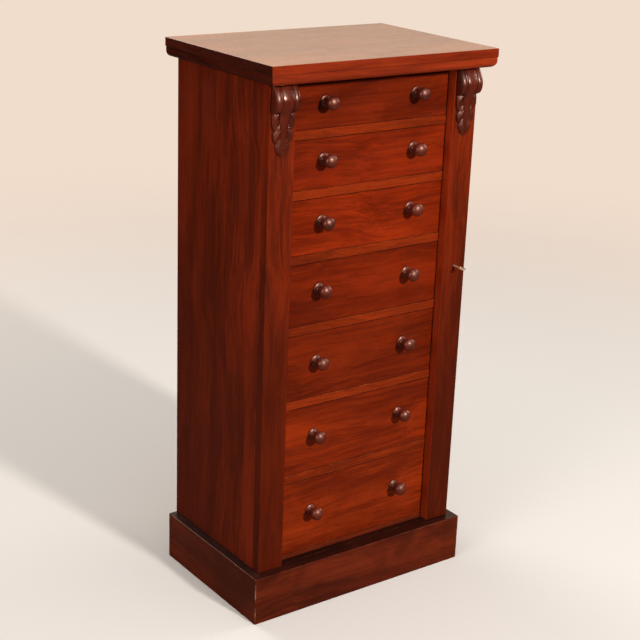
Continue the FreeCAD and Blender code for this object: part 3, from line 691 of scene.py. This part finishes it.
boards = {
    # CAD node: finish, slot, how far its arrises are broken
    "top_board": ("topMahogany", "top_wood", 0.4 * mm),
    "plinth_front": ("plinthMahoganyAcross", "plinth_wood", 0.8 * mm),
    "plinth_sides": ("plinthMahoganyAlong", "plinth_wood", 0.8 * mm),
    "side_left": ("sideMahogany", "side_wood", 0.6 * mm),
    "side_right": ("sideMahogany", "side_wood", 0.6 * mm),
    "pilaster_left": ("postMahogany", "post_wood", 0.6 * mm),
    "flap_board": ("postMahogany", "post_wood", 0.6 * mm),
    "bottom_board": ("footMahogany", "rail_wood", 0.9 * mm),
    # painted shade: the rail under the top is near black, where the top's shadow falls
    "carcase_top": ("shadedLedgeMahogany", "rail_wood", 0.6 * mm),
    "drawer_rails": ("railMahogany", "rail_wood", 0.9 * mm),
    "back_boards": ("backPine", "inside_wood", 1.2 * mm),
    "front_stiles": ("postMahogany", "rail_wood", 0.4 * mm),
}
frontArris = 0.7 * mm
boardFaces = {
    # CAD node: further finishes and their faces, a later one over an earlier one
    "top_board": (
        ("slabEdgeMahogany", lambda face: face.normal.z < 0.5),
        # painted shade: the slab's end faces take the darker copy
        ("shadedSlabEndMahogany", lambda face: abs(face.normal.x) > 0.5),
    ),
    "flap_board": (
        ("litPostEdgeMahogany", lambda face: face.normal.x < -0.7),    # painted light: lighter beside the drawers, where the lamps reach the flap's inner edge too little
    ),
    # painted shade and reflection: the plinth's top faces are painted near black
    "plinth_front": (("shadedLedgeMahogany", lambda face: face.normal.z > 0.9),),
    "plinth_sides": (("shadedLedgeMahogany", lambda face: face.normal.z > 0.9),),
}
bodyOf = {
    name: body
    for body, members in frame["record"]["behaviour"]["bodies"].items()
    for name in members
}


def makeBoards():
    for nodeName, (finish, slotName, arris) in boards.items():
        words = nodeName.split("_")
        pieceName = words[0] + "".join(word.capitalize() for word in words[1:])
        mesh = softened(nodeName, arris)
        finishPiece(pieceName, mesh, bodyOf[nodeName], finish, slotName, [nodeName])
        for further, wanted in boardFaces.get(nodeName, ()):
            paintFaces(mesh, further, wanted)
    for number in drawers:
        nodeName = f"drawer_{number}_front"
        finishPiece(
            f"drawerFront{number}", softened(nodeName, frontArris), f"drawer_{number}",
            f"frontMahogany{number}", "drawer_wood", [nodeName],
        )


makeBoards()
print("boards softened")


# Mouldings under the top

mouldings = {
    "arris": 0.5 * mm,
    "strip": 75 * mm,    # as far in as the side strips may reach
}


def makeMouldings():
    # one mesh with the grain along each strip: across the front, and along the sides, which are
    # painted darker as painted shade
    low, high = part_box("top_mouldings")

    def besideTheSide(face):
        fromSide = min(face.center.x - low.x, high.x - face.center.x)
        return fromSide < mouldings["strip"] and fromSide < face.center.y - low.y

    mesh = softened("top_mouldings", mouldings["arris"])
    finishPiece(
        "topMouldings", mesh, "carcase", "mouldMahoganyAcross", "moulding_wood",
        ["top_mouldings"],
    )
    paintFaces(mesh, "shadedMouldMahoganyAlong", besideTheSide)


makeMouldings()
print("mouldings made")


# Turned knobs

knob = {
    "steps": 56,
    "smooth": 50.0,
    # distance out of the drawer's face, and radius, both in millimetres
    "profile": (
        (-19.8, 0.0), (-19.8, 6.3), (0.0, 6.3), (0.0, 13.0), (0.4, 13.5), (2.4, 13.5),
        (3.0, 13.1), (3.3, 12.2), (4.3, 10.4), (5.8, 8.7), (8.0, 7.4), (11.0, 6.9), (14.0, 7.1),
        (16.4, 8.0), (18.6, 9.7), (20.6, 11.7), (22.6, 13.3), (25.2, 14.6), (28.0, 15.2),
        (30.4, 15.1), (32.6, 14.4), (34.6, 13.0), (36.2, 11.1), (37.5, 8.6), (38.5, 5.8),
        (39.2, 2.9), (39.45, 0.0),
    ),
}


def turnKnob(made, centreX, faceY, centreZ):
    count = knob["steps"]
    rings = []
    for out, radius in knob["profile"]:
        y = faceY - out * mm
        if radius == 0:
            rings.append([made.verts.new((centreX, y, centreZ))])
            continue
        ring = []
        for step in range(count):
            angle = 2 * math.pi * step / count
            x = centreX + radius * mm * math.cos(angle)
            z = centreZ + radius * mm * math.sin(angle)
            ring.append(made.verts.new((x, y, z)))
        rings.append(ring)
    for first, second in zip(rings, rings[1:]):
        for step in range(count):
            after = (step + 1) % count
            if len(first) == 1:
                made.faces.new((first[0], second[step], second[after]))
            elif len(second) == 1:
                made.faces.new((first[step], second[0], first[after]))
            else:
                made.faces.new((first[step], second[step], second[after], first[after]))


def makeKnobs(number):
    nodeName = f"drawer_{number}_knobs"
    low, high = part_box(nodeName)
    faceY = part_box(f"drawer_{number}_front")[0].y
    radius = (high.z - low.z) / 2
    made = bmesh.new()
    for centreX in (low.x + radius, high.x - radius):
        turnKnob(made, centreX, faceY, (low.z + high.z) / 2)
    bmesh.ops.recalc_face_normals(made, faces=made.faces)
    finishPiece(
        f"drawerKnobs{number}", meshFrom(made, f"knobs{number}"), f"drawer_{number}",
        "turnedMahogany", "turned_wood", [nodeName], knob["smooth"],
    )


for number in drawers:
    makeKnobs(number)
print("knobs turned")


# Carved corbels: three reeds roll over a scroll, and the middle one runs on as the rib of a leaf

corbel = {
    # all in millimetres; the paths give the drop below the head and the depth out of the post
    "beadPath": (
        (0, 7), (6, 12.6), (12, 16.8), (19, 20.4), (26, 23.2), (34, 24.8), (41, 24.6),
        (47, 23.2), (52, 20.9), (55.8, 17.6), (58, 13.8), (59.2, 10.2), (60, 7.6), (61.5, 6),
    ),
    "rollPath": (
        (0, 7), (6, 12.8), (12, 17), (19, 20.6), (26, 23.4), (33, 24.9), (40, 24.6), (46, 23),
        (52, 20.2), (58, 16.6), (64, 13.2), (70, 10.9),
    ),
    "ribDepth": (
        (60, 15), (70, 10.9), (80, 9.6), (95, 8.8), (112, 7.8), (128, 6.4), (142, 4.4),
        (150, 2.8), (154, 1.5),
    ),
    "lobeDepth": ((60, 5.4), (70, 6.0), (90, 6.0), (110, 5.4), (130, 4.4), (145, 3.0), (154, 1.2)),
    # half width of the leaf down its length, notched between the lobes
    "edge": (
        (60, 28.5), (72, 28.5), (84, 27.8), (91, 25.6), (95.5, 22), (97, 20.2), (98.5, 22),
        (103, 24.8), (110, 24.8), (117, 22.4), (121.5, 19), (124, 15.8), (125.5, 17.2),
        (130, 18.8), (136, 17.2), (143, 13), (149, 8), (153, 4), (154, 2.4),
    ),
    "halfWidth": 28.5,
    "rollHalf": 13.1,    # half width of the middle reed
    "groove": 1.7,
    "grooveDepth": (2.4, 1.4),    # at its sides, and further at its middle
    "roundTo": 0.96,    # share of a reed's half width that is rounded
    "rollRound": 3.0,    # how far a reed falls away at its sides
    "beadRound": 3.4,
    "leafFrom": 60,
    "leafLength": 94,
    "leafThins": 0.55,
    "ribFrom": 70,
    "ribLength": 84,
    "ribTaper": (0.86, 0.8),    # share of its width that it loses, and the curve of that
    "ribRoundTo": 0.95,
    "ribRound": (3.0, 0.45),    # how far it falls away, and at most as a share of its depth
    "veinStarts": (-18.5, 21.5, 51.5, 96),    # where the valleys between the lobes meet the rib
    "veinSlope": 1.2,
    "swell": (4.4, 2.2),    # of a lobe over its valleys, and how far they lie below the leaf
    "swellCurve": 0.8,
    "crest": (1.3, 0.1),    # of a lobe's middle vein, and its width as a share of the lobe
    "reeding": (0.25, 5.0),    # depth and spacing of the fine cuts
    "rim": (0.62, 0.38, 5),    # depth kept at the edge, the rest, and the curve between them
    "fade": 2.0,    # beside the rib
    "least": {"scroll": 1.2, "rib": 0.8, "lobe": 0.7},    # depth of the wood
    "scrollRows": 96,
    "leafRows": 130,
    "columns": 115,
    "smooth": 50.0,
}
pathSteps = 24    # between two points of a path


def smoothPath(points, count):
    # a smooth curve through the points, read off at even steps along its length
    def spot(index):
        return Vector(points[max(0, min(index, len(points) - 1))])
    fine = []
    for index in range(len(points) - 1):
        a, b, c, d = (spot(index + shift) for shift in (-1, 0, 1, 2))
        for step in range(pathSteps):
            t = step / pathSteps
            slope = (c - a) * t
            bend = (2 * a - 5 * b + 4 * c - d) * t * t
            twist = (3 * b - a - 3 * c + d) * t ** 3
            fine.append(0.5 * (2 * b + slope + bend + twist))
    fine.append(spot(len(points) - 1))
    lengths = [0.0]
    for first, second in zip(fine, fine[1:]):
        lengths.append(lengths[-1] + (second - first).length)
    result = []
    index = 0
    for step in range(count):
        goal = lengths[-1] * step / (count - 1)
        while index < len(lengths) - 2 and lengths[index + 1] < goal:
            index += 1
        share = (goal - lengths[index]) / max(lengths[index + 1] - lengths[index], 1e-9)
        result.append(fine[index].lerp(fine[index + 1], min(max(share, 0), 1)))
    return result


def between(table, at):
    # straight-line reading of a table of pairs
    if at <= table[0][0]:
        return table[0][1]
    for (x0, y0), (x1, y1) in zip(table, table[1:]):
        if at <= x1:
            return y0 + (y1 - y0) * (at - x0) / (x1 - x0)
    return table[-1][1]


def roundOver(share, drop):
    # how far a round bar falls away at a share of its half width
    return drop * (1 - math.sqrt(max(1 - min(share, 1) ** 2, 0)))


def scrollSpot(away, bead, roll):
    # drop and depth at a distance from the middle line
    half, groove = corbel["rollHalf"], corbel["groove"]
    if away < half:
        return roll.x, roll.y - roundOver(away / half * corbel["roundTo"], corbel["rollRound"])
    if away < half + groove:
        share = (away - half) / groove
        spot = roll.lerp(bead, share)
        deep, deeper = corbel["grooveDepth"]
        return spot.x, spot.y - deep - deeper * (1 - abs(2 * share - 1))
    middle = (corbel["halfWidth"] + half + groove) / 2
    reach = (corbel["halfWidth"] - half - groove) / 2
    share = abs(away - middle) / reach * corbel["roundTo"]
    return bead.x, bead.y - roundOver(share, corbel["beadRound"])


def lobeShare(valley):
    # how far a spot lies across its lobe, from one valley to the next
    starts = corbel["veinStarts"]
    index = max(sum(valley >= start for start in starts) - 1, 0)
    index = min(index, len(starts) - 2)
    return min(max((valley - starts[index]) / (starts[index + 1] - starts[index]), 0), 1)


def leafSpot(away, drop, width):
    # depth of the leaf at a distance from the middle line, where it is so wide
    least = corbel["least"]
    taper, curve = corbel["ribTaper"]
    down = min(max(drop - corbel["ribFrom"], 0) / corbel["ribLength"], 1)
    rib = corbel["rollHalf"] * (1 - taper * down ** curve)
    if away < rib:
        top = between(corbel["ribDepth"], drop)
        most, share = corbel["ribRound"]
        fallen = roundOver(away / rib * corbel["ribRoundTo"], min(most, top * share))
        return max(top - fallen, least["rib"])
    valley = drop - corbel["leafFrom"] - corbel["veinSlope"] * (away - rib)
    share = lobeShare(valley)
    height, below = corbel["swell"]
    curve = corbel["swellCurve"]
    swell = math.sin(math.pi * share ** curve) ** curve * height - below
    high, wide = corbel["crest"]
    crest = high * math.exp(-(((share - 0.5) / wide) ** 2))
    deep, apart = corbel["reeding"]
    fine = deep * math.cos(2 * math.pi * valley / apart)
    kept, rest, power = corbel["rim"]
    rim = kept + rest * (1 - min(away / width, 1) ** power)
    fade = min((away - rib) / corbel["fade"], 1)
    fall = (drop - corbel["leafFrom"]) / corbel["leafLength"]
    carving = (swell + crest + fine) * fade * (1 - corbel["leafThins"] * max(fall, 0))
    return max((between(corbel["lobeDepth"], drop) + carving) * rim, least["lobe"])


def corbelRows():
    # rows of spots from the head down: x from the middle line, drop and depth
    beads = smoothPath(corbel["beadPath"], corbel["scrollRows"])
    rolls = smoothPath(corbel["rollPath"], corbel["scrollRows"])
    columns = corbel["columns"]
    across = [2 * column / (columns - 1) - 1 for column in range(columns)]
    tip = corbel["edge"][-1][0]
    for bead, roll in zip(beads, rolls):
        spots = []
        for share in across:
            x = corbel["halfWidth"] * share
            drop, depth = scrollSpot(abs(x), bead, roll)
            spots.append((x, drop, max(depth, corbel["least"]["scroll"])))
        yield spots
    for step in range(1, corbel["leafRows"] + 1):
        spots = []
        for share in across:
            away = abs(share) * corbel["halfWidth"] - corbel["rollHalf"]
            beside = min(max(away / corbel["groove"], 0), 1)
            begin = rolls[-1].x + (beads[-1].x - rolls[-1].x) * beside
            drop = begin + (tip - begin) * step / corbel["leafRows"]
            width = between(corbel["edge"], drop)
            spots.append((share * width, drop, leafSpot(abs(share) * width, drop, width)))
        yield spots


def carveCorbel(pieceName, nodeName, body):
    low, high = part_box(nodeName)
    middle = (low.x + high.x) / 2
    face, head = high.y, high.z
    made = bmesh.new()

    def corner(x, drop, depth):
        y = max(face - depth * mm, low.y)
        return made.verts.new((middle + x * mm, y, head - drop * mm))

    rows = []
    for spots in corbelRows():
        row = [corner(*spots[0][:2], 0)]
        row += [corner(*spot) for spot in spots]
        row.append(corner(*spots[-1][:2], 0))
        rows.append(row)
    for first, second in zip(rows, rows[1:]):
        for column in range(len(first)):
            after = (column + 1) % len(first)
            made.faces.new((first[column], first[after], second[after], second[column]))
    made.faces.new(rows[0])
    made.faces.new(list(reversed(rows[-1])))
    bmesh.ops.recalc_face_normals(made, faces=made.faces)
    finishPiece(
        pieceName, meshFrom(made, pieceName), body, "carvedMahogany", "carved_wood",
        [nodeName], corbel["smooth"],
    )


carveCorbel("corbelLeft", "corbel_left", "carcase")
carveCorbel("corbelRight", "corbel_right", "flap")
print("corbels carved")


# Metal: the CAD pieces with broken arrises, and sunk screws set out by one node tree

metalPieces = {
    # CAD node: piece, finish, slot, how far its arrises are broken
    "key": ("key", "keyBrass", "key_brass", 0.3 * mm),
    "hinge_leaves_fixed": ("hingeLeavesFixed", "oldBrass", "hinge_brass", 0.12 * mm),
    "hinge_leaves_moving": ("hingeLeavesMoving", "oldBrass", "hinge_brass", 0.12 * mm),
    "lock_case": ("lockCase", "oldBrass", "lock_brass", 0.12 * mm),
    "lock_bolt": ("lockBolt", "oldBrass", "lock_brass", 0.3 * mm),
    "lock_staple": ("lockStaple", "oldBrass", "lock_brass", 0.25 * mm),
}
screw = {
    "head": 2.6 * mm,
    "thick": 0.5 * mm,
    "sides": 24,
    "smooth": 30.0,
    "slotLength": 2.4,    # times the head's radius
    "slotWidth": 0.7 * mm,
    "slotDepth": 0.35 * mm,
    "below": 0.08 * mm,    # how far the head lies under the metal's face
    "sink": 0.45 * mm,    # depth of the hole that it lies in
    "play": 0.12 * mm,    # gap around the head
    "perHinge": 3,
    "hingeLength": 64 * mm,
    "hingeAt": (0, 0.5, 1),    # from the lowest hinge to the highest
    "fromOuter": 9 * mm,    # middle of a leaf from the chest's side
    "perCaseRow": 2,
    "caseHead": 0.8,    # of the lock case's screws, times the hinges'
    "caseEdge": 4 * mm,
}


def screwRows():
    # CAD node: name of its screws, which way they go in along y, and rows of screws, each
    # with its count, spacing, start and radius
    low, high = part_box("hinge_leaves_moving")
    length, count = screw["hingeLength"], screw["perHinge"]
    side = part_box("side_right")
    column, face = side[1].x - screw["fromOuter"], side[0].y
    spacing = Vector((0, 0, length / count))
    hinges = []
    for share in screw["hingeAt"]:
        foot = low.z + (high.z - low.z - length) * share
        start = Vector((column, face, foot + length / count / 2))
        hinges.append((count, spacing, start, screw["head"]))
    low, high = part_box("lock_case")
    edge = screw["caseEdge"]
    spacing = Vector((high.x - low.x - edge * 2, 0, 0))
    case = [
        (screw["perCaseRow"], spacing, Vector((low.x + edge, high.y, z)),
         screw["head"] * screw["caseHead"])
        for z in (low.z + edge, high.z - edge)
    ]
    return {
        "hinge_leaves_fixed": ("hingeScrewsFixed", 1, hinges),
        "hinge_leaves_moving": ("hingeScrewsMoving", -1, hinges),
        "lock_case": ("lockScrews", -1, case),
    }


def sinkMesh(rows):
    # the holes that the heads lie in, as plugs to cut with
    made = bmesh.new()
    upright = Matrix.Rotation(math.pi / 2, 4, "X")
    for count, spacing, start, radius in rows:
        wide = radius + screw["play"]
        for step in range(count):
            bmesh.ops.create_cone(
                made, cap_ends=True, segments=screw["sides"], radius1=wide, radius2=wide,
                depth=screw["sink"] * 2,
                matrix=Matrix.Translation(start + spacing * step) @ upright,
            )
    return meshFrom(made, "sinks")


def screwTree():
    tree, start, end = makeGroup(
        "screwRow",
        [
            ("Count", "NodeSocketInt", 3),
            ("Spacing", "NodeSocketVector", (0, 0, 0.02)),
            ("Start", "NodeSocketVector", (0, 0, 0)),
            ("Head Radius", "NodeSocketFloat", screw["head"]),
            ("Head Thickness", "NodeSocketFloat", screw["thick"]),
            ("Turn", "NodeSocketVector", (0, 0, 0)),
            ("Finish", "NodeSocketMaterial", None),
        ],
        [("Geometry", "NodeSocketGeometry")],
        "GeometryNodeTree",
    )
    row = addNode(tree, "GeometryNodeMeshLine", mode="OFFSET")
    head = addNode(tree, "GeometryNodeMeshCylinder", {"Vertices": screw["sides"]})
    slotSize = (screw["head"] * screw["slotLength"], screw["slotWidth"], screw["slotDepth"] * 2)
    groove = addNode(tree, "GeometryNodeMeshCube", {"Size": slotSize})
    lift = tree.nodes.new("GeometryNodeTransform")
    heights = tree.nodes.new("ShaderNodeCombineXYZ")
    cutSlot = addNode(tree, "GeometryNodeMeshBoolean", operation="DIFFERENCE", solver="FLOAT")
    spread = tree.nodes.new("GeometryNodeInstanceOnPoints")
    turnTo = tree.nodes.new("FunctionNodeEulerToRotation")
    real = tree.nodes.new("GeometryNodeRealizeInstances")
    paint = tree.nodes.new("GeometryNodeSetMaterial")
    join(
        tree,
        (start.outputs["Count"], row.inputs["Count"]),
        (start.outputs["Spacing"], row.inputs["Offset"]),
        (start.outputs["Start"], row.inputs["Start Location"]),
        (start.outputs["Head Radius"], head.inputs["Radius"]),
        (start.outputs["Head Thickness"], head.inputs["Depth"]),
        (mathNode(tree, "MULTIPLY", start.outputs["Head Thickness"], 0.5), heights.inputs["Z"]),
        (heights.outputs["Vector"], lift.inputs["Translation"]),
        (groove.outputs["Mesh"], lift.inputs["Geometry"]),
        (head.outputs["Mesh"], cutSlot.inputs["Mesh 1"]),
        (lift.outputs["Geometry"], cutSlot.inputs["Mesh 2"]),
        (row.outputs["Mesh"], spread.inputs["Points"]),
        (cutSlot.outputs["Mesh"], spread.inputs["Instance"]),
        (start.outputs["Turn"], turnTo.inputs["Euler"]),
        (turnTo.outputs["Rotation"], spread.inputs["Rotation"]),
        (spread.outputs["Instances"], real.inputs["Geometry"]),
        (real.outputs["Geometry"], paint.inputs["Geometry"]),
        (start.outputs["Finish"], paint.inputs["Material"]),
        (paint.outputs["Geometry"], end.inputs["Geometry"]),
    )
    return tree


def rowMesh(tree, values):
    # one row of screws as a plain mesh
    holder = linked("screwHolder", bpy.data.meshes.new("screwHolder"))
    modifier = holder.modifiers.new("row", "NODES")
    modifier.node_group = tree
    for item in tree.interface.items_tree:
        if item.in_out == "INPUT" and item.name in values:
            modifier[item.identifier] = values[item.name]
    return plainMesh(holder)


def screwHeads(tree, name, way, rows):
    inward = Vector((0, way * (screw["below"] + screw["thick"] / 2), 0))
    made = bmesh.new()
    for count, spacing, start, radius in rows:
        made.from_mesh(rowMesh(tree, {
            "Count": count,
            "Spacing": spacing,
            "Start": start + inward,
            "Head Radius": radius,
            "Head Thickness": screw["thick"],
            "Turn": (way * math.pi / 2, 0, 0),
            "Finish": finishes["screwBrass"],
        }))
    return meshFrom(made, name)


def makeMetal():
    tree = screwTree()
    fastened = screwRows()
    for nodeName, (pieceName, finish, slotName, arris) in metalPieces.items():
        body = bodyOf[nodeName]
        name, way, rows = fastened.get(nodeName, (None, 1, []))
        mesh = softened(nodeName, arris, sinkMesh(rows) if rows else None)
        finishPiece(pieceName, mesh, body, finish, slotName, [nodeName])
        if rows:
            heads = screwHeads(tree, name, way, rows)
            finishPiece(name, heads, body, "screwBrass", slotName, [], screw["smooth"])


makeMetal()
print("metal made")


# CAD nodes that keep their shape get their finishes

keptFinishes = {
    "plinth_back": "insidePine",
    "plinth_blocks": "insidePine",
    "drawer_runners": "insidePine",
    "drawer_stops": "liningOakAcross",
}
for number in drawers:
    keptFinishes[f"drawer_{number}_sides"] = "liningOak"
    keptFinishes[f"drawer_{number}_back"] = "liningOakAcross"
    keptFinishes[f"drawer_{number}_bottom"] = "liningOakAcross"


def finishKept():
    for nodeName, finish in keptFinishes.items():
        mesh = nodes[nodeName].data
        if not mesh.materials:
            mesh.materials.append(finishes[finish])
        for index in range(len(mesh.materials)):
            mesh.materials[index] = finishes[finish]
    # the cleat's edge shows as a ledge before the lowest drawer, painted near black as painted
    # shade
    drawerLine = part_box("bottom_board")[0].y
    mesh = nodes["plinth_blocks"].data
    paintFaces(mesh, "shadedLedgeMahogany", lambda face: face.center.y < drawerLine)


finishKept()
print("kept nodes finished:", len(keptFinishes))


# Floor, world, lamps and camera

stage = {
    "floor": 9.0,    # metres out from the middle
    "floorRough": 0.9,
    "floorTone": (0.84, 0.77, 0.70, 1),    # as the camera sees it
    "floorBounce": (0.30, 0.25, 0.21, 1),    # as it lights the chest
    "floorGloss": (0.09, 0.07, 0.055, 1),    # as the polish shows it
    "fade": (1.1, 4.2),    # metres out, from floor to world
    "backTone": (0.88, 0.72, 0.60, 1),
    "glossTone": (0.92, 0.72, 0.55, 1),
    "glossDepth": (0.0, 0.75, 0.05, 1.0),    # from the front to the back: where, and how strong
    "glossHeight": (0.0, 0.2),
    "fill": 0.15,
}


def makeFloor():
    size = stage["floor"]
    mesh = bpy.data.meshes.new("floor")
    corners = [(-size, -size, 0), (size, -size, 0), (size, size, 0), (-size, size, 0)]
    mesh.from_pydata(corners, [], [(0, 1, 2, 3)])
    material, tree, shader, place = startMaterial("paleFloor")
    shader.inputs["Roughness"].default_value = stage["floorRough"]
    shader.inputs["Specular IOR Level"].default_value = 0.0
    rays = tree.nodes.new("ShaderNodeLightPath")
    far = addNode(tree, "ShaderNodeVectorMath", operation="LENGTH")
    clear = tree.nodes.new("ShaderNodeBsdfTransparent")
    blend = tree.nodes.new("ShaderNodeMixShader")
    glossy = rays.outputs["Is Glossy Ray"]
    tone = mixColour(tree, glossy, stage["floorBounce"], stage["floorGloss"])
    tone = mixColour(tree, rays.outputs["Is Camera Ray"], tone, stage["floorTone"])
    join(
        tree,
        (place.outputs["Object"], far.inputs[0]),
        (tone, shader.inputs["Base Color"]),
        (ranged(tree, far.outputs["Value"], *stage["fade"]), blend.inputs[0]),
        (shader.outputs[0], blend.inputs[1]),
        (clear.outputs[0], blend.inputs[2]),
        (blend.outputs[0], tree.nodes["Material Output"].inputs["Surface"]),
    )
    mesh.materials.append(material)
    linked("floor", mesh)


def makeWorld():
    world = bpy.data.worlds.new("studio")
    scene.world = world
    world.use_nodes = True
    tree = world.node_tree
    background = tree.nodes["Background"]
    rays = tree.nodes.new("ShaderNodeLightPath")
    place = tree.nodes.new("ShaderNodeTexCoord")
    split = tree.nodes.new("ShaderNodeSeparateXYZ")
    join(tree, (place.outputs["Generated"], split.inputs[0]))
    behind = ranged(tree, split.outputs["Y"], *stage["glossDepth"])
    above = ranged(tree, split.outputs["Z"], *stage["glossHeight"])
    gloss = mathNode(tree, "MULTIPLY", behind, above)
    glossTone = mixColour(tree, gloss, (0, 0, 0, 1), stage["glossTone"])
    fill = (stage["fill"],) * 3 + (1,)
    plain = mixColour(tree, rays.outputs["Is Glossy Ray"], fill, glossTone)
    seen = mixColour(tree, rays.outputs["Is Camera Ray"], plain, stage["backTone"])
    join(tree, (seen, background.inputs["Color"]))


lamps = {
    # azimuth from the front towards the right, elevation, distance, size, watts
    "key": (6.0, 24.0, 7.0, 0.6, 410.0),
    "side": (-75.0, 18.0, 4.0, 2.0, 50.0),
    "overhead": (-10.0, 78.0, 3.0, 2.6, 28.0),
    "rear": (-170.0, 32.0, 5.0, 2.2, 90.0),
    "right": (82.0, 24.0, 5.0, 2.2, 70.0),
}
lampsAim = (0, -0.15, 0.65)


def wayTo(azimuth, elevation):
    # the direction out from the chest, in degrees from its front and from level
    a, e = math.radians(azimuth), math.radians(elevation)
    return Vector((math.sin(a) * math.cos(e), -math.cos(a) * math.cos(e), math.sin(e)))


def makeLamps():
    for name, (azimuth, elevation, distance, size, watts) in lamps.items():
        away = wayTo(azimuth, elevation)
        data = bpy.data.lights.new(name, "AREA")
        data.shape = "DISK"
        data.size = size
        data.energy = watts
        lamp = linked(name, data)
        lamp.location = Vector(lampsAim) + away * distance
        lamp.rotation_mode = "QUATERNION"
        lamp.rotation_quaternion = (-away).to_track_quat("-Z", "Y")


camera = {
    "place": (-1.8907, -2.5521, 1.7393),
    "azimuth": -36.450,
    "elevation": 19.376,
    "roll": 2.198,
    "focalPixels": 1435.36,
    "imagePixels": 640,
    "sensor": 36.0,
}


def makeCamera():
    data = bpy.data.cameras.new("camera")
    data.sensor_width = camera["sensor"]
    data.lens = camera["sensor"] * camera["focalPixels"] / camera["imagePixels"]
    lens = linked("camera", data)
    back = wayTo(camera["azimuth"], camera["elevation"])
    right = (-back).cross(Vector((0, 0, 1))).normalized()
    up = right.cross(-back)
    roll = math.radians(camera["roll"])
    turnedRight = math.cos(roll) * right + math.sin(roll) * up
    turnedUp = -math.sin(roll) * right + math.cos(roll) * up
    turn = Matrix((turnedRight, turnedUp, back)).transposed().to_4x4()
    lens.matrix_world = Matrix.Translation(camera["place"]) @ turn
    scene.camera = lens


makeFloor()
makeWorld()
makeLamps()
makeCamera()
scene.view_settings.view_transform = "Standard"
print("stage set")
